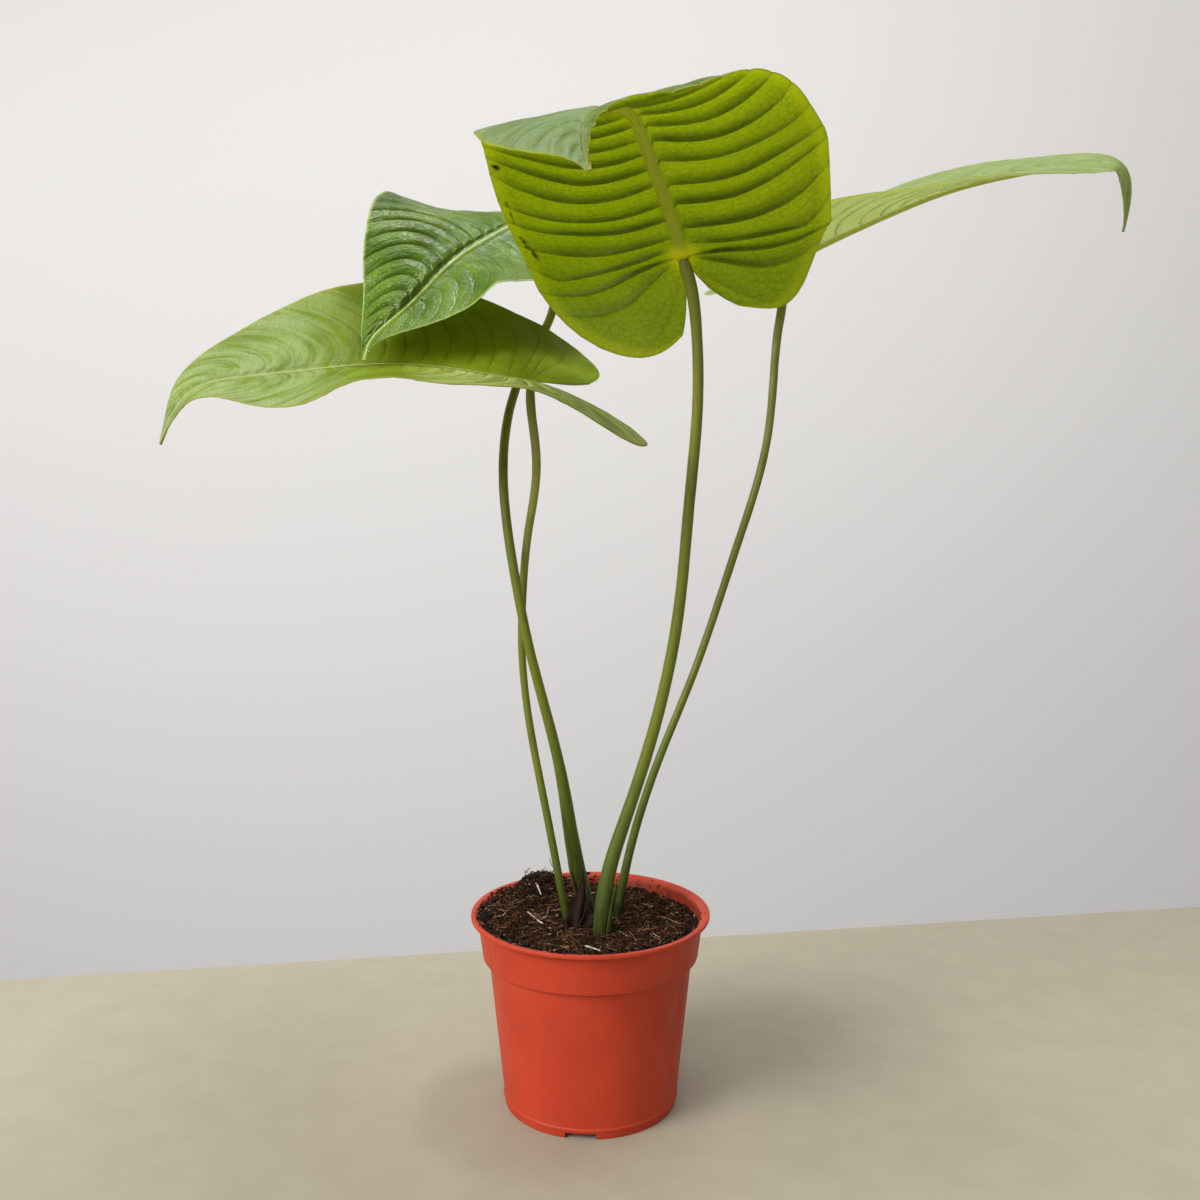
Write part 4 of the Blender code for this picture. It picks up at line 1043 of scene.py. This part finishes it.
def tube_mesh(name, points, radii):
    """A closed and slightly uneven tube along points, with a UV map of its turn and its length."""
    points = np.asarray(points, float)
    along = unit(np.gradient(points, axis=0))
    across = unit(np.cross(along[0], (0.0, 1.0, 0.0)))
    spokes = np.linspace(0, 2 * math.pi, STALK_SIDES, endpoint=False)[:, None]
    rings = []
    for point, direction, radius in zip(points, along, radii):
        across = unit(across - direction * across.dot(direction))
        other = np.cross(direction, across)
        rings.append(point + (np.cos(spokes) * across + np.sin(spokes) * other) * radius)
    rings = np.array(rings)
    centre = points[:, None, :]
    uneven = 1 + STALK_WOBBLE * bumpy(rings, STALK_LUMP, STALK_SEED)
    rings = centre + (rings - centre) * uneven[..., None]
    run = np.r_[0, np.cumsum(np.linalg.norm(np.diff(points, axis=0), axis=1))]
    faces, corners = grid(len(points) - 1, STALK_SIDES, closed=True, shares=run / run[-1])
    end = len(points) * STALK_SIDES
    for j in range(STALK_SIDES):
        k = (j + 1) % STALK_SIDES
        faces += [[k, j, end], [end - STALK_SIDES + j, end - STALK_SIDES + k, end + 1]]
        corners += [(0, 0)] * 3 + [(0, 1)] * 3
    vertices = np.concatenate([rings.reshape(-1, 3), points[:1], points[-1:]])
    return mesh_of(name, vertices, faces, {"turn": corners})


def stalk_route(stalk):
    """A stalk's fine points and radii. Its tip runs into the ridge under the leaf's midrib."""
    leaf = LEAVES[stalk["leaf"]]
    _, line, ahead, up = midrib_frames(leaf)
    roll = np.radians(np.array(leaf["posture"][1][1], float))
    _, face = turn(np.cross(ahead[0], up[0]), up[0], roll)
    even, points = smooth_route([*stalk["route"], line[0] - face * STALK_SINK], STALK_RINGS)
    radii = np.interp(even / even[-1], *zip(*stalk["radius"]))
    radii[-3:] *= STALK_TAPER
    return points, radii


def stalk_material(name, tip_colour):
    shader = Shader(name + "_skin")
    streak = shader.noise(shader.place(1.0, 1.0, 0.06), 1400.0, 2.0)
    blotch = shader.noise(shader.place(1.0, 1.0, 0.35), 130.0, 3.0)
    colour = shader.layers(
        shader.ramp(shader.uv("turn")[2], [*STALK_COLOURS, (0.82, tip_colour)]),
        (shader.band(blotch, 0.45, 0.75, 0.0, 0.40), (0.045, 0.060, 0.005)),
        (shader.band(streak, 0.5, 0.8, 0.0, 0.30), (0.24, 0.28, 0.04)))
    rough = shader.band(blotch, 0.3, 0.7, 0.38, 0.52)
    return shader.finish(shader.glossy(colour, rough, shader.bump(streak, 0.00012), 0.35))


def make_stalk(name, stalk):
    mesh = tube_mesh(name + "_stem", *stalk_route(stalk))
    skin = stalk_material(name, STALK_TIPS[name])
    add_piece(name + "_stem", mesh, [skin], [name])


def rounded(corners):
    """A profile with each of its inner corners rounded off by a short curve."""
    corners = [np.array(corner, float) for corner in corners]
    points = [corners[0]]
    for before, corner, after in zip(corners, corners[1:], corners[2:]):
        room = 0.45 * min(np.linalg.norm(before - corner), np.linalg.norm(after - corner))
        start = corner + unit(before - corner) * min(ROUND, room)
        end = corner + unit(after - corner) * min(ROUND, room)
        for t in np.linspace(0, 1, ROUND_STEPS):
            points.append(start * (1 - t) ** 2 + corner * 2 * t * (1 - t) + end * t * t)
    return points + [corners[-1]]


def inner_radius(z):
    """The inside radius of the pot's collar at a height."""
    share = (z - COLLAR_BOTTOM) / (POT_HEIGHT - LIP_HEIGHT - COLLAR_BOTTOM)
    return COLLAR_BOTTOM_RADIUS - WALL + share * (COLLAR_TOP_RADIUS - COLLAR_BOTTOM_RADIUS)


def pot_profile():
    """The pot's section, from the middle of its floor over the lip to the middle of its foot."""
    lip_base = POT_HEIGHT - LIP_HEIGHT
    channel_top = CHANNEL_RISE + FLOOR
    foot = WALL_BOTTOM_RADIUS - RING_PROUD
    ring = WALL_BOTTOM_RADIUS + RING_PROUD
    return [
        (0, FLOOR), (DISC_RADIUS - WALL, FLOOR), (DISC_RADIUS, channel_top),
        (WALL_BOTTOM_RADIUS - WALL, channel_top), (WALL_TOP_RADIUS - WALL, COLLAR_BOTTOM),
        (COLLAR_BOTTOM_RADIUS - WALL, COLLAR_BOTTOM + WALL), (COLLAR_TOP_RADIUS - WALL, lip_base),
        (RIM_RADIUS - RIM_WIDTH, POT_HEIGHT), (RIM_RADIUS, POT_HEIGHT), (RIM_RADIUS, lip_base),
        (COLLAR_TOP_RADIUS, lip_base), (COLLAR_BOTTOM_RADIUS, COLLAR_BOTTOM),
        (WALL_TOP_RADIUS, COLLAR_BOTTOM), (WALL_BOTTOM_RADIUS, RING_HEIGHT + RING_WIDTH),
        (ring, RING_HEIGHT + RING_WIDTH / 2), (ring, RING_HEIGHT - RING_WIDTH / 2),
        (WALL_BOTTOM_RADIUS, RING_HEIGHT - RING_WIDTH), (foot, 0), (foot - WALL, 0),
        (foot - WALL, CHANNEL_RISE), (DISC_RADIUS + WALL, CHANNEL_RISE), (DISC_RADIUS, 0), (0, 0),
    ]


def turned_object(name, profile):
    """A temporary object: a profile at +X turned round the Z axis."""
    mesh = bpy.data.meshes.new(name)
    points = [(r, 0, z) for r, z in profile]
    mesh.from_pydata(points, [(i, i + 1) for i in range(len(points) - 1)], [])
    turned = linked(name, mesh)
    screw = turned.modifiers.new("Turn", "SCREW")
    screw.steps = screw.render_steps = POT_STEPS
    screw.use_merge_vertices = True
    screw.merge_threshold = 0.00001
    return turned


def cut(obj, name, shape, place, angle=0.0):
    """Cuts a bmesh out of a temporary object and returns the cutter."""
    mesh = bpy.data.meshes.new(name)
    shape.to_mesh(mesh)
    shape.free()
    cutter = linked(name, mesh)
    cutter.location = place
    cutter.rotation_euler = (0, 0, angle)
    boolean = obj.modifiers.new(name, "BOOLEAN")
    boolean.object = cutter
    return cutter


def finished_mesh(name, obj, cutters=()):
    """The mesh that an object's modifiers make. The object and its cutters are removed."""
    bpy.context.view_layer.update()
    graph = bpy.context.evaluated_depsgraph_get()
    mesh = bpy.data.meshes.new_from_object(obj.evaluated_get(graph))
    mesh.name = name
    for used in (obj, *cutters):
        bpy.data.objects.remove(used, do_unlink=True)
    mesh.materials.clear()
    mesh.shade_smooth()
    mesh.set_sharp_from_angle(angle=SHARP)
    return mesh


def thickened(name, mesh, thick):
    """A mesh made of a thin sheet of points, given a thickness."""
    piece = linked(name, mesh)
    solidify = piece.modifiers.new("Thickness", "SOLIDIFY")
    solidify.thickness = thick
    solidify.offset = 0
    return finished_mesh(name, piece)


def pot_material():
    shader = Shader("pot_plastic")
    point = shader.place()
    height = shader.add("SeparateXYZ", {0: point}).outputs[2]
    streak = shader.noise(shader.place(1.0, 1.0, 0.10), 260.0, 3.0)

    # The inside of the collar gets painted shade, darker, with soil dust near the rim
    wide = shader.length(shader.place(1.0, 1.0, 0.0))
    flare = COLLAR_TOP_RADIUS - COLLAR_BOTTOM_RADIUS
    flare = flare / (POT_HEIGHT - LIP_HEIGHT - COLLAR_BOTTOM)
    past_wall = shader.math("SUBTRACT", wide, shader.times(height, flare))
    middle = COLLAR_BOTTOM_RADIUS - WALL / 2 - flare * COLLAR_BOTTOM
    inside = shader.times(shader.band(past_wall, middle - 0.0003, middle + 0.0003, 1.0, 0.0),
                          shader.band(height, 0.082, 0.088))
    dust = shader.noise(shader.place(1.0, 1.0, 0.5), 420.0, 4.0, 0.7)
    dust = shader.times(shader.band(dust, 0.46, 0.66), shader.band(height, 0.080, 0.097), inside)
    cloud = shader.band(shader.noise(point, 25.0, 4.0), 0.3, 0.7)
    colour = shader.layers(
        shader.mix(cloud, (0.45, 0.039, 0.013), (0.52, 0.048, 0.017)),
        (shader.times(inside, 0.55), (0.17, 0.026, 0.011)),
        (shader.times(dust, 0.85), (0.060, 0.018, 0.010)))
    rough = shader.band(streak, 0.3, 0.7, 0.44, 0.58)
    normal = shader.bump(streak, 0.00008, shader.bump(shader.noise(point, 900.0, 3.0), 0.00006))
    return shader.finish(shader.glossy(colour, rough, normal, 0.28))


def around(radius, angle, z=0.0):
    """A place round the pot's axis, with the angle taken from the front."""
    return radius * math.sin(angle), -radius * math.cos(angle), z


def make_pot():
    pot = turned_object("pot_form", rounded(pot_profile()))
    cutters = []
    for k in range(NOTCHES):
        angle = NOTCH_TURN + k * 2 * math.pi / NOTCHES
        box = bmesh.new()
        bmesh.ops.create_cube(box, size=1)
        bmesh.ops.scale(box, verts=box.verts, vec=(NOTCH_WIDTH, CUT_REACH, 2 * NOTCH_HEIGHT))
        cutters.append(cut(pot, "notch_%d" % k, box, around(WALL_BOTTOM_RADIUS, angle), angle))
    for k in range(DRAIN_HOLES):
        angle = NOTCH_TURN + (k + 0.5) * 2 * math.pi / DRAIN_HOLES
        rod = bmesh.new()
        bmesh.ops.create_cone(rod, cap_ends=True, segments=DRAIN_SIDES, radius1=DRAIN_RADIUS,
                              radius2=DRAIN_RADIUS, depth=CUT_REACH)
        place = around(DRAIN_CIRCLE, angle, CHANNEL_RISE + FLOOR)
        cutters.append(cut(pot, "drain_%d" % k, rod, place))
    mesh = finished_mesh("pot_shell", pot, cutters)
    add_piece("pot_shell", mesh, [pot_material()], ["pot"])


def soil_height(x, y):
    """The lumpy top of the soil: it leans to one side and dips round the stalks."""
    share = np.hypot(x, y) / inner_radius(SOIL_EDGE)
    lean = SOIL_TILT * np.cos(np.arctan2(y, x) - SOIL_HIGH_SIDE) * share ** 2
    coarse = 2 * math.pi / COARSE_LUMP
    fine = 2 * math.pi / FINE_LUMP
    lumps = np.sin(coarse * x + 1.3) * np.cos(0.9 * coarse * y - 0.7)
    lumps = lumps + 0.6 * np.sin(fine * (0.85 * x - 0.52 * y))
    heaps = 0
    for a, b, radius, rise in SOIL_HEAPS:
        heaps = heaps + rise * np.exp(-((x - a) ** 2 + (y - b) ** 2) / radius ** 2)
    return SOIL_EDGE + lean - SOIL_DIP * (1 - share ** 2) + SOIL_LUMP * lumps + heaps


def soil_material(name, stops):
    """Soil whose colour follows each bit's own number, kept in a UV map."""
    shader = Shader(name + "_earth")
    grain = shader.noise(shader.place(), 900.0, 3.0, 0.7)
    colour = shader.mix(shader.band(grain, 0.35, 0.7, 0.0, 0.6),
                        shader.ramp(shader.uv("own")[1], stops), (0.012, 0.007, 0.005))
    return shader.finish(shader.glossy(colour, 0.85, shader.bump(grain, 0.0003), 0.15))


def make_soil():
    """The body of the soil: a rough top on a plain block that fills the pot."""
    edge = inner_radius(SOIL_EDGE) - SOIL_GAP
    reach = np.linspace(0, 1, SOIL_RINGS + 1)[1:] * edge
    spokes = np.linspace(0, 2 * math.pi, SOIL_SPOKES, endpoint=False)
    radius, angle = np.meshgrid(reach, spokes, indexing="ij")
    x, y = radius * np.cos(angle), radius * np.sin(angle)
    spot = np.stack([x, y, 0 * x], -1)
    rough = sum(high * bumpy(spot, size, k + 1) for k, (high, size) in enumerate(SOIL_ROUGH))
    rough = (rough - SOIL_SINK) * np.clip((edge - radius) / 0.002, 0.3, 1)
    top = np.stack([x, y, soil_height(x, y) + rough], -1)
    rings = [top.reshape(-1, 3)]
    for ring_radius, z in ((inner_radius(COLLAR_BOTTOM + WALL), COLLAR_BOTTOM + WALL),
                           (WALL_TOP_RADIUS - WALL, COLLAR_BOTTOM),
                           (WALL_BOTTOM_RADIUS - WALL, CHANNEL_RISE + FLOOR)):
        ring_radius, z = ring_radius - SOIL_GAP, z + SOIL_GAP
        rings.append(np.stack([ring_radius * np.cos(spokes), ring_radius * np.sin(spokes),
                               np.full(SOIL_SPOKES, z)], -1))
    points = np.concatenate([[(0, 0, soil_height(0, 0))], *rings, [(0, 0, z)]])
    levels = SOIL_RINGS + len(rings) - 1
    faces = [[a, d, c, b] for a, b, c, d in grid(levels - 1, SOIL_SPOKES, 1, closed=True)[0]]
    last = len(points) - 1
    for k in range(SOIL_SPOKES):
        after = (k + 1) % SOIL_SPOKES
        faces += [[0, 1 + k, 1 + after], [last - SOIL_SPOKES + k, last, last - SOIL_SPOKES + after]]
    corners = sum(len(face) for face in faces)
    mesh = mesh_of("soil_body", points, faces, {"own": np.full((corners, 2), BODY_SHADE)})
    add_piece("soil_body", mesh, [soil_material("soil_body", SOIL_COLOURS)], ["soil"])


def add_bits(name, bits, stops, smooth=False):
    """A piece of many small forms on the soil, each with its points, its faces and its shade."""
    points, faces, own = [], [], []
    for form, sides, shade in bits:
        faces += [[len(points) + k for k in side] for side in sides]
        points.extend(form)
        own += [(shade, 0)] * sum(len(side) for side in sides)
    mesh = mesh_of(name, points, faces, {"own": own}, smooth)
    add_piece(name, mesh, [soil_material(name, stops)])


def scattered(count, edge, random, within=ANYWHERE):
    """Random spots on the soil, clear of the stalks, within a circle."""
    spots = []
    while len(spots) < count:
        radius = edge * math.sqrt(random.random())
        angle = 2 * math.pi * random.random()
        x, y = radius * math.cos(angle), radius * math.sin(angle)
        near = math.hypot(x - within[0], y - within[1]) < within[2]
        if near and all(math.hypot(x - a, y - b) > c for a, b, c in SOIL_CLEAR):
            spots.append((x, y, float(soil_height(x, y))))
    return np.array(spots)


def edge_spots(count, random):
    """Spots on the slope inside the lip, mostly on the side where the soil is high."""
    inner = COLLAR_TOP_RADIUS - WALL
    radius = inner + random.uniform(-0.0008, RIM_RADIUS - RIM_WIDTH - inner - 0.0002, count)
    angle = SOIL_HIGH_SIDE + random.normal(0, EDGE_SPREAD, count)
    slope = LIP_HEIGHT / (RIM_RADIUS - RIM_WIDTH - inner)
    height = POT_HEIGHT - LIP_HEIGHT + (radius - inner) * slope
    return np.stack([radius * np.cos(angle), radius * np.sin(angle), height - 0.0004], -1)


def make_crumbs():
    """Crumbs of soil, each a small jagged stone-like form."""
    random = np.random.default_rng(CRUMB_SEED)
    form = bmesh.new()
    bmesh.ops.create_icosphere(form, subdivisions=1, radius=1)
    ball = np.array([vertex.co for vertex in form.verts])
    sides = [[vertex.index for vertex in face.verts] for face in form.faces]
    form.free()
    bits = []
    spots = scattered(CRUMBS, inner_radius(SOIL_EDGE) - 0.0012, random)
    for spot in np.concatenate([spots, edge_spots(EDGE_CRUMBS, random)]):
        size = random.uniform(*CRUMB_SIZE) * random.choice([0.7, 1.0, 1.5], p=[0.5, 0.35, 0.15])
        squash = random.uniform((0.7, 0.6, 0.4), (1.4, 1.1, 0.8))
        jagged = ball * random.uniform(0.7, 1.25, (len(ball), 1)) * squash * size
        turn_by = random.uniform(0, 2 * math.pi)
        tilt = Matrix.Rotation(turn_by, 3, "Z") @ Matrix.Rotation(random.normal(0, 0.5), 3, "X")
        lift = random.uniform(-0.6, 1.0) * size
        bits.append((jagged @ np.array(tilt).T + spot + (0, 0, lift), sides, random.random()))
    add_bits("soil_crumbs", bits, SOIL_COLOURS)


def strand(spot, heading, length, radius, random, climb, bend):
    """Points and faces of a thin three-sided strand that bends as it lies."""
    path = [spot]
    for _ in range(STRAND_STEPS):
        heading += random.normal(0, 0.45 * bend)
        climb += random.normal(0, 0.16 * bend)
        way = np.array([math.cos(heading), math.sin(heading), climb])
        spot = spot + length / STRAND_STEPS * way
        spot[2] = max(spot[2], float(soil_height(spot[0], spot[1])) - 0.0002)
        path.append(spot)
    path = np.array(path)
    along = unit(np.gradient(path, axis=0))
    across = unit(np.cross(along, (0.0, 0.0, 1.0)))
    other = np.cross(along, across)
    taper = np.linspace(1.0, 0.55, STRAND_STEPS + 1)[:, None]
    rings = [path + radius * taper * (math.cos(a) * across + math.sin(a) * other)
             for a in STRAND_CORNERS]
    last = 3 * STRAND_STEPS
    faces = grid(STRAND_STEPS, 3, closed=True)[0] + [[2, 1, 0], [last, last + 1, last + 2]]
    return np.stack(rings, 1).reshape(-1, 3), faces


def make_strands(name, count, length, radius, stops, seed, lift, bend, within):
    """Many fibres, curls or straws that lie on the soil."""
    random = np.random.default_rng(seed)
    edge = inner_radius(SOIL_EDGE) - 0.004
    bits = []
    for spot in scattered(count, edge, random, within):
        size = random.uniform(*length)
        heading = random.uniform(0, 2 * math.pi)
        end = spot[:2] + size * np.array([math.cos(heading), math.sin(heading)])
        if math.hypot(*end) > edge:
            heading += math.pi
        spot = spot + (0, 0, random.uniform(0.0002, 0.0014))
        form, sides = strand(spot, heading, size, random.uniform(*radius), random,
                             random.normal(0, lift), bend)
        bits.append((form, sides, random.random()))
    add_bits(name, bits, stops, smooth=True)


def make_splinters():
    bits = []
    for k, (start, end, radius) in enumerate(SPLINTERS):
        ends = [np.array((*spot, float(soil_height(*spot)) + 0.0017)) for spot in (start, end)]
        ahead = unit(ends[1] - ends[0])
        across = unit(np.cross(ahead, (0.0, 0.0, 1.0)))
        other = np.cross(across, ahead)
        form = [place + radius * share * (a * across + b * other)
                for place, share in zip(ends, (1.0, 0.6))
                for a, b in ((-1, -0.5), (1, -0.5), (1, 0.5), (-1, 0.5))]
        sides = grid(1, 4, closed=True)[0] + [[3, 2, 1, 0], [4, 5, 6, 7]]
        bits.append((form, sides, 1.0 - 0.11 * k))
    add_bits("soil_splinters", bits, SPLINTER_COLOURS)


def wrap_mesh(name, wrap):
    """A dry scale or sheath, furrowed and thin, that narrows to a tip."""
    rows, columns = WRAP_GRID
    _, axis = smooth_route(wrap["axis"], rows + 1)
    t = np.linspace(0, 1, rows + 1)[:, None]
    c = np.linspace(-1, 1, columns + 1)[None, :]
    radius = wrap["radius"][0] + (wrap["radius"][1] - wrap["radius"][0]) * t + 0 * c
    side = wrap["side"][0] + (wrap["side"][1] - wrap["side"][0]) * t
    arc = wrap["arc"] * (1 - 0.97 * t ** wrap["narrowing"])
    angle = np.radians(side + c * arc)
    centre = axis[:, None, :]
    spot = np.stack([c + 0 * t, t + 0 * c, 0 * t * c], -1)
    ragged = wrap["rough"] * bumpy(spot * (1.6, 5.0, 1.0), 1.0, wrap["seed"])
    furrow = wrap["rough"] * 0.25 * np.cos(c * wrap["furrows"] * math.pi)
    radius = radius + wrap["thick"] * 0.5 + ragged + furrow
    sheet = centre + np.stack([radius * np.cos(angle), radius * np.sin(angle), 0 * radius], -1)
    faces, corners = grid(rows, columns)
    mesh = mesh_of(name, sheet.reshape(-1, 3), faces, {"turn": corners})
    return thickened(name, mesh, wrap["thick"] * 0.6)


def make_folds():
    points, faces, corners = [], [], []
    rows, columns = FOLD_GRID
    for k, (route, widths, facing, curl) in enumerate(FOLDS):
        _, path = smooth_route(route, rows + 1)
        t = np.linspace(0, 1, rows + 1)[:, None]
        c = np.linspace(-1, 1, columns + 1)[None, :]
        width = spline((0, 0.5, 1), widths, t)
        angle = np.radians(facing[0] + (facing[1] - facing[0]) * t)
        across = np.stack([np.cos(angle), np.sin(angle), 0 * angle], -1)
        out = np.stack([np.sin(angle), -np.cos(angle), 0 * angle], -1)
        spot = np.stack([1.5 * c + 0 * t, 6 * t + 0 * c, 0 * t * c], -1)
        ragged = 0.0006 * bumpy(spot, 1.0, 20 + k)
        edge = 1 + 0.25 * bumpy(np.stack([0 * c + 9 * t, 0 * c * t, 0 * c * t], -1), 1.0, 30 + k)
        offset = curl * c * c * width + ragged
        sheet = path[:, None, :] + across * (c * width * edge)[..., None] + out * offset[..., None]
        sides, places = grid(rows, columns, len(points))
        points.extend(sheet.reshape(-1, 3))
        faces += sides
        corners += places
    mesh = mesh_of("scale_folds", points, faces, {"turn": corners})
    mesh = thickened("scale_folds", mesh, FOLD_THICK)
    add_piece("scale_folds", mesh, [dry_material("scale_folds", *DRY_COLOURS["scale"])])


def dry_material(name, dark, light, through):
    shader = Shader(name + "_skin")
    lines = shader.noise(shader.stretch(shader.uv("turn")[0], 26.0, 1.6, 1.0), 1.0, 3.0, 0.6)
    colour = shader.mix(shader.band(lines, 0.35, 0.7), dark, light)
    normal = shader.bump(lines, 0.0003)
    surface = shader.glossy(colour, shader.band(lines, 0.3, 0.7, 0.5, 0.8), normal, 0.25)
    return shader.finish(shader.through(0.25, surface, through, normal))


def crown_material():
    shader = Shader("crown_skin")
    lines = shader.noise(shader.place(1.0, 1.0, 0.3), 600.0, 3.0)
    colour = shader.mix(shader.band(lines, 0.35, 0.7), (0.008, 0.005, 0.004), (0.050, 0.026, 0.014))
    return shader.finish(shader.glossy(colour, 0.7, shader.bump(lines, 0.0004)))


def make_wraps():
    for name, wrap in WRAPS.items():
        look = "sheath" if name == "green_sheath" else "scale"
        mesh = wrap_mesh(name + "_skin", wrap)
        material = dry_material(name, *DRY_COLOURS[look])
        add_piece(name + "_skin", mesh, [material], [name])


def add_stage(name, points, faces, material):
    mesh = mesh_of(name, points, faces, smooth=False)
    mesh.materials.append(material)
    linked(name, mesh)


def make_stage():
    """A pale table and a plain wall."""
    shader = Shader("table_top")
    grain = shader.noise(shader.place(), 40.0, 4.0)
    colour = shader.mix(shader.band(grain, 0.3, 0.7), (0.36, 0.322, 0.237), (0.38, 0.342, 0.254))
    table_look = shader.finish(shader.glossy(colour, 0.6))
    outline = [(TABLE_EDGE_LEFT[0], TABLE_FRONT), (TABLE_EDGE_RIGHT[0], TABLE_FRONT),
               TABLE_EDGE_RIGHT, TABLE_EDGE_LEFT]
    points = [(x, y, z) for z in (0, -TABLE_THICK) for x, y in outline]
    sides = [[k, k + 4, (k + 1) % 4 + 4, (k + 1) % 4] for k in range(4)]
    add_stage("table", points, [[0, 1, 2, 3], [7, 6, 5, 4], *sides], table_look)
    left, right, low, high = WALL_REACH
    corners = [(left, WALL_PLACE, low), (right, WALL_PLACE, low), (right, WALL_PLACE, high),
               (left, WALL_PLACE, high)]
    shader = Shader("wall_paint")
    wall_look = shader.finish(shader.glossy((0.84, 0.825, 0.81), 0.9))
    add_stage("wall", corners, [[0, 1, 2, 3]], wall_look)


def make_light(name, place, aim, size, power):
    light = bpy.data.lights.new(name, "AREA")
    light.shape = "RECTANGLE"
    light.size, light.size_y = size
    light.energy = power
    lamp = linked(name, light)
    lamp.location = place
    lamp.rotation_euler = (Vector(aim) - Vector(place)).to_track_quat("-Z", "Y").to_euler()


def make_studio():
    scene = bpy.context.scene
    camera = bpy.data.cameras.new("camera")
    camera.lens = LENS
    scene.camera = linked("camera", camera)
    scene.camera.location = CAMERA_PLACE
    scene.camera.rotation_euler = (math.pi / 2 - CAMERA_DOWN, 0, 0)
    scene.view_settings.view_transform = "Standard"
    for lamp in LAMPS:
        make_light(*lamp)
    scene.world = bpy.data.worlds.new("studio")
    scene.world.use_nodes = True
    background = scene.world.node_tree.nodes["Background"]
    background.inputs["Color"].default_value = (*WORLD_COLOUR, 1)
    background.inputs["Strength"].default_value = WORLD_STRENGTH


def main():
    make_studio()
    make_stage()
    for name, leaf in LEAVES.items():
        make_leaf(name, leaf, [make(name, LEAF_LOOKS[name])
                               for make in (upper_material, under_material, rim_material)])
    for name, stalk in STALKS.items():
        make_stalk(name, stalk)
    make_pot()
    make_soil()
    make_crumbs()
    for strands in STRANDS:
        make_strands(*strands)
    make_splinters()
    make_wraps()
    make_folds()
    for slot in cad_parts["crown"].material_slots:
        slot.material = crown_material()


main()
